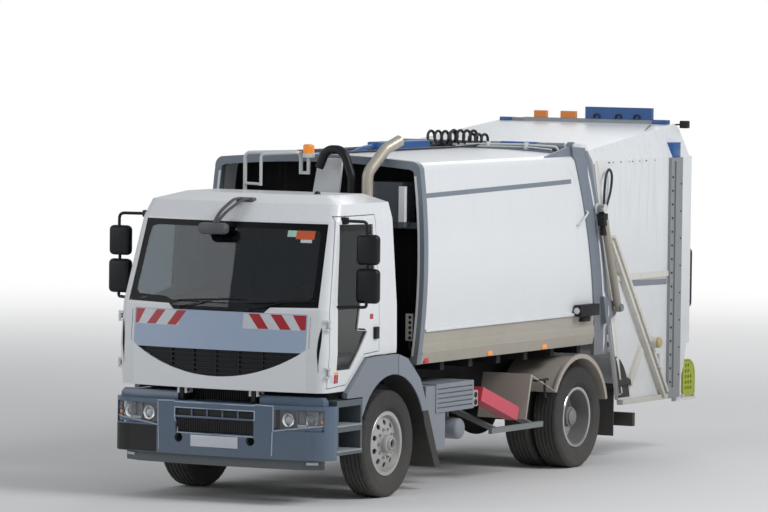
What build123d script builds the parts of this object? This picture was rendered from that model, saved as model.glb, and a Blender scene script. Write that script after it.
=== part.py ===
from build123d import *
from collections import namedtuple
from math import cos, hypot, pi, radians, sin
import os

# A two-axle rear-loading garbage truck, in millimetres.
# X is the vehicle's left, Y runs rearward and Z up. Every piece is drawn with Y measured from
# the front axle and Z from the ground, and save() moves it to the middle of the overall length.

# Overall
WHEELBASE = 4000
FRONT_OVERHANG = 1400
REAR_END = WHEELBASE + 2800
FRONT_AXLE_Y = -(REAR_END - FRONT_OVERHANG) / 2

# Clearances
RUN = 0.05
SEAT = 0.3
PANEL_GAP = 8
MOVE_GAP = 6

# Tyres, rims and hubs
TYRE_R = 520
TYRE_W = 290
BEAD_R = 290
FLANGE_R = 312
BEAD_HALF = 104
RIM_LIP = 8
RIM_W = 2 * (BEAD_HALF + SEAT + RIM_LIP)
RIM_WALL = 13
FRONT_TYRE_X = 1000
REAR_OUTER_X = 1050
TWIN_PITCH = 330
SPINDLE_R = 45
HUB_R = 105
HAND_HOLES = 10
HAND_HOLE_R = 27
HAND_HOLE_PCR = 205

# Front axle and steering
KINGPIN_X = 850
KINGPIN_R = 22
EYE_R = 50
EYE_H = 110
KNUCKLE_WEB = 86
DRUM_R = 205

# Frame
RAIL_X = 430
RAIL_FLANGE = 70
RAIL_LOW = 700
RAIL_TOP = 980
RAIL_T = 10
RAIL_FRONT = -1120
RAIL_REAR = WHEELBASE + 930

# Sloping tool case ahead of the left rear wheels
CASE_FRONT = 1880
CASE_IN = 1020
CASE_W = 140

# Engine, as one plain block with its gearbox and shaft
ENGINE_HALF = 290
ENGINE_FRONT = -700
ENGINE_REAR = 520
ENGINE_LOW = 640
ENGINE_TOP = 1320
GEARBOX_REAR = 1240

# Cab
CAB_WALL = 42
CAB_REAR = 120
CAB_LIP = 1080
CAB_FLOOR = 1395
WELL_FLOOR = 1130
ARCH_Y = -880
SCREEN_LOW = 1860
SCREEN_TOP = 2690
ROOF_SEAM = 2745
GLASS_T = 8
TILT_Y = -1300
TILT_Z = 1050
TILT_X = RAIL_X - 35
TILT_PIN_R = 15

# Cab outline at six heights
CabSection = namedtuple("CabSection", "z front side_front half rear")
CAB_SECTIONS = [
    CabSection(CAB_LIP, -1385, -1290, 1130, CAB_REAR),
    CabSection(1460, -1390, -1300, 1150, CAB_REAR),
    CabSection(SCREEN_LOW, -1352, -1262, 1145, CAB_REAR),
    CabSection(SCREEN_TOP, -1062, -985, 1090, CAB_REAR - 10),
    CabSection(2850, -960, -890, 1050, CAB_REAR - 25),
    CabSection(2925, -700, -640, 820, CAB_REAR - 110),
]
CORNER_X = 95
CORNER_Y = 120

# Side outlines as (y, z)
ARCH_LINE = [(ARCH_Y, CAB_LIP), (-520, 1385), (-300, CAB_FLOOR), (CAB_REAR + 60, CAB_FLOOR)]
DOOR = [(-940, 2735), (-235, 2735), (-240, 1435), (-300, 1432), (-534, 1418), (-858, 1145), (-1215, 1125),
        (-1190, 1860)]
DOOR_WINDOW = [(-925, 2665), (-290, 2650), (-292, 1975), (-600, 1915), (-665, 1650), (-465, 1632),
               (-790, 1285), (-1055, 1285), (-1048, 1950)]
# Front outline as (x, z)
SCREEN = [(-1000, 2668), (1000, 2668), (1046, 1885), (560, 1875), (500, 1822), (-500, 1822), (-560, 1875),
          (-1046, 1885)]
DOOR_HINGE_X = 1160
DOOR_HINGE_Y = -1224
DOOR_HINGES = (1250, 1700)
HINGE_PIN_R = 8
FRONT_PANEL_HALF = 950
GRILLE_TOP = 1455
GRILLE_LOW = 1200
GRILLE_HALF = 905

# Bumper
BUMPER_LOW = 440
BUMPER_TOP = 955
BUMPER_HALF = 1195
BUMPER_SKIN = 30
TOW_R = 20
TOW_HOLE_R = TOW_R + 25
TOW_Z = 600
TOW_LONG = 100
BRACKET_Y = -1290

# Load body
BODY_FRONT = 550
FRAME_LONG = 85
BODY_WALL = 40
BODY_FLOOR = 1250
FLOOR_T = 50
RAIL_BAND_TOP = 1570
BODY_TOP = 3260
BODY_HALF = 1197
RAIL_IN = BODY_HALF - 92
FLOOR_HALF = RAIL_IN - 20
BULKHEAD_Y = 900
EJECT_Y = BULKHEAD_Y + 110
RIB_PITCH = (BODY_HALF - 297) / 2
BOW_LOW = 32
BOW_LOW_Z = 1570
BOW_MID_Z = 2300
BOW_TOP = 55
BOW_TOP_Z = 3125

# Slanted joint between body and tailgate
JOINT_TOP_Y = WHEELBASE + 200
JOINT_TOP_Z = 3220
JOINT_LOW_Y = WHEELBASE + 760
JOINT_LOW_Z = 1130
JOINT_GAP = 12
POST_DEPTH = 300
POST_OUT = 14
HINGE_X = BODY_HALF - 187
HINGE_Y = JOINT_TOP_Y - 115
HINGE_Z = 3287
HINGE_R = 26

# Tailgate
GATE_HALF = BODY_HALF - 7
GATE_WALL = 36
GATE_REAR = WHEELBASE + 2550
PILLAR_REAR = GATE_REAR + 60
RIDGE_Z = 3489
RIDGE_HALF = GATE_HALF - 155
SHOULDER_Z = 3150
SILL_Z = 1180
MOUTH_TOP = 2350
GATE_LOW = 640
CHANNEL_Y = WHEELBASE + 2050
CHANNEL_W = 280
CHANNEL_OUT = GATE_HALF + 32
CHANNEL_TOP = SHOULDER_Z - 10
GATE_STRIP = 18
BRACE_OUT = 62

# Packing plate and its slide
SLIDE_TILT = 37
SLIDE_TRAVEL = 650
PIVOT_LOW_Y = WHEELBASE + 1610
PIVOT_LOW_Z = 1530
BLADE_R = 800
TROUGH_GAP = 40
BLADE_REST = 25
LEVER_R = 280
LEVER_ANGLE = 10
BLADE_HALF = GATE_HALF - 85
CARRIAGE_REACH = 880
CHEEKS = (95 - BLADE_HALF, -340, 340, BLADE_HALF - 95)
PACKER_RAMS = (-675, 675)
RAM_PIN_R = 24
EYE_HALF = 54

# Bin lifter and folding footboards
LIFTER_Y = GATE_REAR + 50
LIFTER_Z = 1130
LIFTER_HALF = 700
LIFTER_ARMS = (-560, 560)
LIFTER_PIN_R = 20
FOOT_X = GATE_HALF - 25
FOOT_Z = 588
FOOT_LONG = 294
FOOT_HIGH = 385
FOOT_Y = GATE_REAR - 44

# Lift cylinders
CYL_X = BODY_HALF + 83
CYL_R = 40
CYL_ROD_R = 24
CYL_LOW_Y = WHEELBASE + 690
CYL_LOW_Z = 1620
CYL_TOP_Y = WHEELBASE + 300
CYL_TOP_Z = 2660
CYL_PIN_R = 25


def to_space(axis, a, b, c):
    """Place the plane point (a, b) at distance c along the named axis."""
    if axis == "x":
        return Vector(c, a, b)
    if axis == "y":
        return Vector(a, c, b)
    return Vector(a, b, c)


def block(x0, x1, y0, y1, z0, z1):
    size = Box(abs(x1 - x0), abs(y1 - y0), abs(z1 - z0))
    return Pos((x0 + x1) / 2, (y0 + y1) / 2, (z0 + z1) / 2) * size


def outline_wire(axis, path, c):
    """Close a path of points; a step of two points is an arc through the first to the second."""
    edges = []
    here = path[0]
    for step in path[1:] + [path[0]]:
        start = to_space(axis, here[0], here[1], c)
        if isinstance(step[0], tuple):
            via, end = step
            middle = to_space(axis, via[0], via[1], c)
            edges.append(Edge.make_three_point_arc(start, middle, to_space(axis, end[0], end[1], c)))
            here = end
        elif hypot(step[0] - here[0], step[1] - here[1]) > 1e-6:
            edges.append(Edge.make_line(start, to_space(axis, step[0], step[1], c)))
            here = step
    return Wire(edges)


def prism(axis, path, c0, c1):
    """Extrude a closed path between two stations of an axis."""
    face = Face(outline_wire(axis, path, c0))
    way = to_space(axis, 0, 0, 1)
    return extrude(face, amount=c1 - c0, dir=way)


def rod(p, q, radius):
    start = Vector(*p)
    way = Vector(*q) - start
    return Solid.make_cylinder(radius, way.length, Plane(origin=start, z_dir=way))


def tube(p, q, outer, inner):
    return rod(p, q, outer) - rod(p, q, inner)


def turned(path, centre=(0, 0, 0)):
    """Revolve a closed path of (x, radius) points about the X axis."""
    face = Face(outline_wire("y", path, 0))
    return Pos(*centre) * revolve(face, Axis.X, 360)


def bent_pipe(points, radius, bends):
    """A round bar along straight runs joined by arcs."""
    path = FilletPolyline(*points, radius=bends)
    start = Vector(*points[0])
    way = Vector(*points[1]) - start
    section = Plane(origin=start, z_dir=way) * Circle(radius)
    return sweep(section, path=path)


def mirrored(shape):
    return mirror(shape, about=Plane.YZ)


def both(shape):
    return [shape, mirrored(shape)]


def fuse(*shapes):
    flat = []
    for shape in shapes:
        flat.extend(shape if isinstance(shape, list) else [shape])
    joined = flat[0]
    for shape in flat[1:]:
        joined = joined + shape
    return joined


def save(node, *shapes):
    """Write one node: move it to the middle of the length and keep its solids apart."""
    solids = []
    for shape in shapes:
        for part in shape if isinstance(shape, list) else [shape]:
            solids.extend((Pos(0, FRONT_AXLE_Y, 0) * part).solids())
    whole = Compound(children=solids) if len(solids) > 1 else solids[0]
    export_step(whole, os.path.join("parts", node + ".step"))


# Tyres and rims


def tyre(x):
    """A filled tyre ring about an axle parallel to X."""
    half = TYRE_W / 2
    crown = half * 0.74
    wide = (BEAD_R + TYRE_R) / 2 - 10
    path = [(-BEAD_HALF, BEAD_R), (-BEAD_HALF, FLANGE_R + 4), ((-half, wide), (-half * 0.93, TYRE_R - 30)),
            (-crown, TYRE_R), (crown, TYRE_R),
            (half * 0.93, TYRE_R - 30), ((half, wide), (BEAD_HALF, FLANGE_R + 4)), (BEAD_HALF, BEAD_R)]
    return turned(path, (x, 0, TYRE_R))


def rim_barrel(x):
    """The well of a rim with a flange at each edge."""
    half = RIM_W / 2
    lip = RIM_LIP
    outer = BEAD_R - SEAT
    path = [(-half, outer - RIM_WALL), (-half, FLANGE_R), (-half + lip, FLANGE_R), (-half + lip, outer),
            (half - lip, outer), (half - lip, FLANGE_R), (half, FLANGE_R), (half, outer - RIM_WALL)]
    return turned(path, (x, 0, TYRE_R))


def disc(x_rim, x_face):
    """A wheel disc from the rim to the hub's face, with its ring of hand holes."""
    wall = 14
    inner = BEAD_R - SEAT - RIM_WALL
    path = [(x_rim, inner + 2), (x_face, HUB_R + 60), (x_face, HUB_R - 20),
            (x_face + wall, HUB_R - 20), (x_face + wall, HUB_R + 66), (x_rim + wall, inner + 2)]
    plate = turned(path, (0, 0, TYRE_R))
    low = min(x_rim, x_face) - 40
    for n in range(HAND_HOLES):
        turn = 2 * pi * n / HAND_HOLES
        y = HAND_HOLE_PCR * sin(turn)
        z = TYRE_R + HAND_HOLE_PCR * cos(turn)
        plate = plate - rod((low, y, z), (low + 220, y, z), HAND_HOLE_R)
    return plate


def front_rim():
    half = RIM_W / 2
    plate = disc(FRONT_TYRE_X + half - 60, FRONT_TYRE_X + half - 24)
    hub = rod((KINGPIN_X + KNUCKLE_WEB + 8, 0, TYRE_R), (FRONT_TYRE_X + half + 28, 0, TYRE_R), HUB_R - 15)
    bore = rod((KINGPIN_X, 0, TYRE_R), (FRONT_TYRE_X + 80, 0, TYRE_R), SPINDLE_R + RUN)
    return fuse(rim_barrel(FRONT_TYRE_X), plate, hub) - bore


def rear_rim():
    half = RIM_W / 2
    middle = REAR_OUTER_X - TWIN_PITCH / 2
    plate = disc(REAR_OUTER_X - half + 20, middle + 8)
    inner_x = REAR_OUTER_X - TWIN_PITCH
    joint = rod((inner_x + half - 30, 0, TYRE_R), (middle + 12, 0, TYRE_R), BEAD_R - RIM_WALL + 1)
    joint = joint - rod((inner_x, 0, TYRE_R), (middle + 40, 0, TYRE_R), BEAD_R - RIM_WALL - 16)
    ring = rod((middle - 4, 0, TYRE_R), (middle + 10, 0, TYRE_R), BEAD_R - RIM_WALL)
    ring = ring - rod((middle - 5, 0, TYRE_R), (middle + 11, 0, TYRE_R), HUB_R)
    hub = rod((inner_x + 150, 0, TYRE_R), (REAR_OUTER_X + half - 70, 0, TYRE_R), HUB_R)
    bore = rod((inner_x, 0, TYRE_R), (REAR_OUTER_X + 10, 0, TYRE_R), SPINDLE_R + RUN)
    return fuse(rim_barrel(REAR_OUTER_X), rim_barrel(inner_x), plate, joint, ring, hub) - bore


def wheels():
    front_tyre = tyre(FRONT_TYRE_X)
    front = front_rim()
    back = Pos(0, WHEELBASE, 0)
    rear_tyres = [back * tyre(REAR_OUTER_X), back * tyre(REAR_OUTER_X - TWIN_PITCH)]
    rear = back * rear_rim()
    save("tyre_front_left", front_tyre)
    save("tyre_front_right", mirrored(front_tyre))
    save("rim_front_left", front)
    save("rim_front_right", mirrored(front))
    save("tyres_rear_left", rear_tyres)
    save("tyres_rear_right", [mirrored(each) for each in rear_tyres])
    save("rim_rear_left", rear)
    save("rim_rear_right", mirrored(rear))


# Axles, springs and steering knuckles


def knuckle():
    """Kingpin, forked ears, spindle and brake drum of one steered wheel."""
    z = TYRE_R
    top = z + EYE_H / 2 + 40
    low = z - EYE_H / 2 - 40
    web_x = KINGPIN_X + KNUCKLE_WEB
    pin = rod((KINGPIN_X, 0, low), (KINGPIN_X, 0, top), KINGPIN_R)
    parts = [pin]
    for z0, z1 in [(low, low + 39), (top - 39, top)]:
        parts.append(rod((KINGPIN_X, 0, z0), (KINGPIN_X, 0, z1), EYE_R))
        parts.append(block(KINGPIN_X, web_x, -36, 36, z0, z1))
    parts.append(block(web_x - 28, web_x, -46, 46, low, top))
    parts.append(rod((web_x - 10, 0, z), (FRONT_TYRE_X + 70, 0, z), SPINDLE_R))
    drum = tube((web_x - 24, 0, z), (web_x + 6, 0, z), DRUM_R, EYE_R)
    parts.append(drum - block(web_x - 40, web_x + 20, -60, 60, low - 20, top + 20))
    parts.append(tube((web_x - 24, 0, z), (web_x + 6, 0, z), EYE_H, EYE_R - 8))
    return fuse(*parts)


def front_beam():
    z = TYRE_R
    drop = 380
    path = [(-KINGPIN_X, z - 40), (-KINGPIN_X + 120, z - 40), (-600, drop), (600, drop),
            (KINGPIN_X - 120, z - 40), (KINGPIN_X, z - 40), (KINGPIN_X, z + 40),
            (KINGPIN_X - 90, z + 40), (560, drop + 90), (-560, drop + 90),
            (-KINGPIN_X + 90, z + 40), (-KINGPIN_X, z + 40)]
    beam = prism("y", path, -40, 40)
    for x in (-KINGPIN_X, KINGPIN_X):
        beam = beam + rod((x, 0, z - EYE_H / 2), (x, 0, z + EYE_H / 2), EYE_R)
        beam = beam - rod((x, 0, z - EYE_H), (x, 0, z + EYE_H), KINGPIN_R + RUN)
    return beam


def leaf_spring(x, y, z_mid, z_end, half_length):
    """A bowed pack of leaves, 70 wide, with an eye at each end."""
    thick = 46
    path = [(y - half_length, z_end), ((y, z_mid), (y + half_length, z_end)),
            (y + half_length, z_end + thick), ((y, z_mid + thick), (y - half_length, z_end + thick))]
    return prism("x", path, x - 35, x + 35)


def axles():
    z = TYRE_R
    spring_x = RAIL_X - RAIL_FLANGE / 2
    front = []
    for sign in (-1, 1):
        x = sign * spring_x
        spring = leaf_spring(x, 0, 500, RAIL_LOW - 80, 700)
        seat = block(x - 45, x + 45, -60, 60, 380 + 90 - 10, 506)
        front.append(fuse(spring, seat))
        for y in (-680, 680):
            front.append(block(x - 30, x + 30, y - 30, y + 30, RAIL_LOW - 40, RAIL_LOW))
    beam = fuse(front_beam(), front)
    rear_x = RAIL_X + 46
    tube_end = REAR_OUTER_X - TWIN_PITCH + 135
    rear = [rod((-tube_end, WHEELBASE, z), (tube_end, WHEELBASE, z), 68)]
    rear.append(rod((-REAR_OUTER_X - 5, WHEELBASE, z), (REAR_OUTER_X + 5, WHEELBASE, z), SPINDLE_R))
    case = [(-190, 66), ((0, 235), (190, 66))]
    rear.append(turned(case, (0, WHEELBASE, z)))
    for sign in (-1, 1):
        x = sign * rear_x
        rear.append(leaf_spring(x, WHEELBASE, z + 86, RAIL_LOW, 720))
        rear.append(block(x - 45, x + 45, WHEELBASE - 70, WHEELBASE + 70, z + 40, z + 96))
        inner = REAR_OUTER_X - TWIN_PITCH - RIM_W / 2
        rear.append(rod((sign * (inner - 30), WHEELBASE, z), (sign * (inner + 70), WHEELBASE, z), DRUM_R))
        for y in (-690, 690):
            rear.append(block(sign * RAIL_X, x + sign * 30, WHEELBASE + y - 40, WHEELBASE + y + 40,
                              RAIL_LOW + 40, RAIL_LOW + 130))
    save("front_axle", beam)
    save("rear_axle", fuse(*rear))
    left = knuckle()
    save("knuckle_left", left)
    save("knuckle_right", mirrored(left))


# Frame and what hangs on it


def chassis_frame():
    rails = []
    for sign in (-1, 1):
        outer = sign * RAIL_X
        inner = sign * (RAIL_X - RAIL_FLANGE)
        web = sign * (RAIL_X - RAIL_T)
        path = [(outer, RAIL_LOW), (outer, RAIL_TOP), (inner, RAIL_TOP), (inner, RAIL_TOP - RAIL_T),
                (web, RAIL_TOP - RAIL_T), (web, RAIL_LOW + RAIL_T), (inner, RAIL_LOW + RAIL_T),
                (inner, RAIL_LOW)]
        rails.append(prism("y", path, RAIL_FRONT, RAIL_REAR))
    # y, low z, high z of each crossmember
    members = [(RAIL_FRONT + 40, 720, 860), (0.375 * WHEELBASE, 860, 968), (0.6 * WHEELBASE, 860, 968),
               (0.825 * WHEELBASE, 860, 968), (WHEELBASE + 560, 730, 968), (RAIL_REAR - 60, 730, 968)]
    inside = RAIL_X - RAIL_T
    for y, z0, z1 in members:
        rails.append(block(-inside, inside, y - 35, y + 35, z0, z1))
    sub_top = BODY_FLOOR - 90
    for sign in (-1, 1):
        x0 = sign * (RAIL_X - RAIL_FLANGE + 5)
        rails.append(block(x0, sign * (RAIL_X - 5), BODY_FRONT, JOINT_LOW_Y - 60, RAIL_TOP, sub_top))
    # y of each bearer between subframe and body floor
    for y in range(int(BODY_FRONT) + 80, int(JOINT_LOW_Y) - 150, 600):
        rails.append(block(45 - RAIL_IN, RAIL_IN - 45, y - 40, y + 40, sub_top, BODY_FLOOR))
    # brackets that carry the bumper and the cab's tilt hinge
    for x in (-TILT_X, TILT_X):
        rails.append(block(x - 55, x + 55, BRACKET_Y, RAIL_FRONT, 760, BUMPER_TOP - BUMPER_SKIN))
        socket = block(x - 45, x + 45, BRACKET_Y, BRACKET_Y + 140, TOW_Z - 60, 765)
        rails.append(socket - rod((x, BRACKET_Y - 10, TOW_Z), (x, BRACKET_Y + TOW_LONG, TOW_Z), TOW_R))
    return fuse(*rails)


def tilt_brackets():
    """Two upright ears with the pins that the cab tilts about."""
    parts = []
    foot = BUMPER_TOP - BUMPER_SKIN
    for x in (-TILT_X, TILT_X):
        ear = [(BRACKET_Y, foot), (BRACKET_Y + 110, foot), (TILT_Y + 40, TILT_Z),
               ((TILT_Y, TILT_Z + 40), (TILT_Y - 40, TILT_Z)), (TILT_Y - 35, foot + 45)]
        pin = rod((x - 60, TILT_Y, TILT_Z), (x + 60, TILT_Y, TILT_Z), TILT_PIN_R)
        parts.append(prism("x", ear, x - 20, x + 20) + pin)
    return parts


def driveline():
    engine = block(-ENGINE_HALF, ENGINE_HALF, ENGINE_FRONT, ENGINE_REAR, ENGINE_LOW, ENGINE_TOP)
    gearbox = block(-180, 180, ENGINE_REAR, GEARBOX_REAR, ENGINE_LOW + 30, 1020)
    shaft = rod((0, GEARBOX_REAR, 800), (0, WHEELBASE - 240, TYRE_R + 30), 48)
    mounts = [block(s * ENGINE_HALF, s * (RAIL_X - RAIL_T), y - 40, y + 40, 760, 860) for s in (-1, 1)
              for y in (ENGINE_FRONT + 160, ENGINE_REAR - 120)]
    save("engine", fuse(engine, gearbox, shaft, mounts))


# Cab


def grown(path, amount):
    """Offset a closed path of straight sides outward, or inward where the amount is negative."""
    count = len(path)
    area = 0
    for n in range(count):
        (a0, b0), (a1, b1) = path[n], path[(n + 1) % count]
        area += a0 * b1 - a1 * b0
    side = 1 if area > 0 else -1
    lines = []
    for n in range(count):
        (a0, b0), (a1, b1) = path[n], path[(n + 1) % count]
        length = hypot(a1 - a0, b1 - b0)
        normal = (side * (b1 - b0) / length, -side * (a1 - a0) / length)
        lines.append((normal[0], normal[1], normal[0] * a0 + normal[1] * b0 + amount))
    result = []
    for n in range(count):
        p, q = lines[n - 1], lines[n]
        det = p[0] * q[1] - p[1] * q[0]
        if abs(det) < 1e-9:
            result.append((path[n][0] + p[0] * amount, path[n][1] + p[1] * amount))
        else:
            result.append(((p[2] * q[1] - q[2] * p[1]) / det, (p[0] * q[2] - q[0] * p[2]) / det))
    return result


def cab_hull(inset, low=0):
    """The cab's outer form with its walls moved in by inset and its foot lowered by low."""
    wires = []
    last = CAB_SECTIONS[-1]
    for section in CAB_SECTIONS:
        half = section.half - inset
        front = section.front + inset
        side = section.side_front + inset
        rear = section.rear - inset
        z = section.z - (inset if section is last else 0) - (low if section is CAB_SECTIONS[0] else 0)
        inner = half - CORNER_X
        back = side + CORNER_Y
        bend = (half - CORNER_X * 0.3, side + CORNER_Y * 0.3)
        path = [(-inner, side), ((0, front), (inner, side)), (bend, (half, back)), (half, rear),
                (-half, rear),
                (-half, back), ((-bend[0], bend[1]), (-inner, side))]
        wires.append(outline_wire("z", path, z))
    return Solid.make_loft(wires, ruled=True)


def grille_hole(gap):
    top = GRILLE_TOP + gap
    half = GRILLE_HALF + 5 * gap
    low = GRILLE_LOW - gap
    return prism("y", [(-half, top), (half, top), ((0, low), (-half, top))], -1500, -1200)


def cab_pieces():
    wall = cab_hull(0) - cab_hull(CAB_WALL, 60)
    below_arch = prism("x", ARCH_LINE + [(CAB_REAR + 60, CAB_LIP - 80), (ARCH_Y, CAB_LIP - 80)], -1300, 1300)
    screen_hole = prism("y", SCREEN, -1500, -850)
    roof = wall & block(-1300, 1300, -1500, 300, ROOF_SEAM, 3000)
    front_zone = block(-FRONT_PANEL_HALF, FRONT_PANEL_HALF, -1500, -1150, CAB_LIP - 10, 1822)
    front_panel = (wall & front_zone) - grille_hole(0)
    shell = wall - block(-1300, 1300, -1500, 300, ROOF_SEAM, 3000) - front_zone - below_arch - screen_hole
    for x0, x1 in ((850, 1300), (-1300, -850)):
        shell = shell - prism("x", grown(DOOR, PANEL_GAP), x0, x1)
    inner = cab_hull(CAB_WALL - 1, 60)
    floor_path = [(-1225, CAB_LIP + 12), (ARCH_Y + 40, CAB_LIP + 12), (ARCH_Y + 40, CAB_FLOOR - 40),
                  (CAB_REAR, CAB_FLOOR - 40), (CAB_REAR, CAB_FLOOR), (ARCH_Y, CAB_FLOOR),
                  (ARCH_Y, WELL_FLOOR),
                  (-1225, WELL_FLOOR)]
    floor = prism("x", floor_path, -1050, 1050) & inner
    shell = shell + floor
    lugs = []
    for x in (-TILT_X - 40, -TILT_X + 40, TILT_X - 40, TILT_X + 40):
        lug = block(x - 12, x + 12, TILT_Y - 28, TILT_Y + 65, TILT_Z - 28, CAB_LIP - 5)
        lug = lug + block(x - 12, x + 12, TILT_Y + 50, TILT_Y + 85, TILT_Z - 28, WELL_FLOOR)
        lugs.append(lug - rod((x - 20, TILT_Y, TILT_Z), (x + 20, TILT_Y, TILT_Z), TILT_PIN_R + RUN))
    pins = [piece for pin in door_hinge_pins() for piece in both(pin)]
    shell = fuse(shell, lugs, pins)
    save("cab_shell", shell)
    save("cab_roof", roof)
    save("cab_front", front_panel)


def cab_glass():
    pane = cab_hull(10) - cab_hull(10 + GLASS_T, 60)
    screen = pane & prism("y", grown(SCREEN, -SEAT), -1500, -850)
    save("windscreen", screen)


def front_band(inset, thick, z0, z1):
    """An upright bowed band that follows the front panel."""
    half = FRONT_PANEL_HALF + 40
    side, bow = -1302 + inset, -1388 + inset
    path = [(-half, side), ((0, bow), (half, side)), (half, side + thick),
            ((0, bow + thick), (-half, side + thick))]
    return prism("z", path, z0, z1)


def grille():
    """A dark crescent of bars on a backing plate."""
    hole = grille_hole(-SEAT)
    back = front_band(30, 8, GRILLE_LOW - 10, GRILLE_TOP) & hole
    bars = [front_band(12, 20, z, z + 14) & hole for z in range(GRILLE_LOW + 25, GRILLE_TOP - 20, 46)]
    zone = front_band(12, 20, GRILLE_LOW - 20, GRILLE_TOP) & hole
    uprights = [zone & block(x - 7, x + 7, -1372, -1290, GRILLE_LOW - 20, GRILLE_TOP)
                for x in range(-500, 501, 250)]
    return fuse(back, bars, uprights)


def door_left():
    wall = cab_hull(0) - cab_hull(CAB_WALL, 60)
    door = wall & prism("x", DOOR, 850, 1300)
    door = door - prism("x", DOOR_WINDOW, 850, 1300)
    handle = block(1140, 1172, -345, -275, 1560, 1660) - block(1158, 1166, -335, -285, 1570, 1650)
    for z in DOOR_HINGES:
        knuckle_ring = rod((DOOR_HINGE_X, DOOR_HINGE_Y, z), (DOOR_HINGE_X, DOOR_HINGE_Y, z + 50), 16)
        arm = block(DOOR_HINGE_X - 8, DOOR_HINGE_X + 8, DOOR_HINGE_Y, DOOR_HINGE_Y + 60, z, z + 50)
        arm = arm + block(DOOR_HINGE_X - 30, DOOR_HINGE_X, DOOR_HINGE_Y + 28, DOOR_HINGE_Y + 60, z, z + 50)
        bore = rod((DOOR_HINGE_X, DOOR_HINGE_Y, z - 5), (DOOR_HINGE_X, DOOR_HINGE_Y, z + 55),
                   HINGE_PIN_R + RUN)
        door = door + ((knuckle_ring + arm) - bore)
    return door + handle


def door_hinge_pins():
    pins = []
    for z in DOOR_HINGES:
        pin = rod((DOOR_HINGE_X, DOOR_HINGE_Y, z - 16), (DOOR_HINGE_X, DOOR_HINGE_Y, z + 66), HINGE_PIN_R)
        for z0, z1 in ((z - 24, z - 8), (z + 58, z + 74)):
            pin = pin + rod((DOOR_HINGE_X, DOOR_HINGE_Y, z0), (DOOR_HINGE_X, DOOR_HINGE_Y, z1), 15)
            pin = pin + block(DOOR_HINGE_X - 60, DOOR_HINGE_X - 4, DOOR_HINGE_Y - 36, DOOR_HINGE_Y, z0, z1)
        pins.append(pin)
    return pins


def mirror_left():
    """Two mirror housings on one bent arm, carried by the door's front edge."""
    arm = bent_pipe([(1070, -880, 2700), (1372, -905, 2700), (1372, -905, 1890), (1125, -1110, 1890)], 14, 55)
    heads = []
    # low z, high z, half width
    for z0, z1, half in ((1925, 2255, 122), (2290, 2580, 118)):
        head = fillet(Box(2 * half, 105, z1 - z0).edges().filter_by(Axis.Z), 34)
        head = Pos(1372, -872, (z0 + z1) / 2) * head
        head = head - block(1372 - half + 22, 1372 + half - 22, -828, -800, z0 + 22, z1 - 22)
        heads.append(head)
    return fuse(arm, *heads) - cab_hull(0)


def doors():
    door = door_left()
    pane = cab_hull(14) - cab_hull(14 + GLASS_T - 2, 60)
    glass = pane & prism("x", grown(DOOR_WINDOW, -SEAT), 850, 1300)
    save("door_left", door)
    save("door_right", mirrored(door))
    save("door_glass_left", glass)
    save("door_glass_right", mirrored(glass))
    wing = mirror_left()
    save("mirrors_left", wing)
    save("mirrors_right", mirrored(wing))


def cab_interior():
    dash_path = [(-1175, 1450), (-900, 1450), (-860, 1720), (-900, 1880), (-960, 1905), (-1175, 1890)]
    dash = prism("x", dash_path, -930, 930)
    leg = block(-930, 930, -1175, -1130, WELL_FLOOR, 1450)
    lean = (0, 0.5, 0.866)
    top = (620, -712, 1940)

    def on_column(distance):
        return tuple(c + d * distance for c, d in zip(top, lean))

    column = rod(on_column(-330), top, 30)
    flat = Plane(origin=on_column(30), z_dir=lean, x_dir=(1, 0, 0))
    wheel = flat * Torus(205, 15)
    hub = rod(top, on_column(42), 46)
    spokes = [flat * Rot(0, 0, turn) * Pos(100, 0, 0) * Box(200, 34, 12) for turn in (0, 180, 270)]
    seats = []
    for x in (-620, 620):
        base = block(x - 180, x + 180, -520, -120, CAB_FLOOR, 1700)
        cushion = fillet(Box(500, 500, 130).edges(), 30)
        back_path = [(-110, 1780), (-10, 1760), (60, 2330), (-15, 2345)]
        back = fillet(prism("x", back_path, x - 240, x + 240).edges().filter_by(Axis.X, reverse=True), 22)
        head = fillet(Box(260, 90, 180).edges(), 28)
        seats.append(fuse(base, Pos(x, -320, 1760) * cushion, back, Pos(x, 15, 2420) * head))
    save("cab_interior", fuse(dash, leg, column, wheel, hub, spokes), seats)


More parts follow.
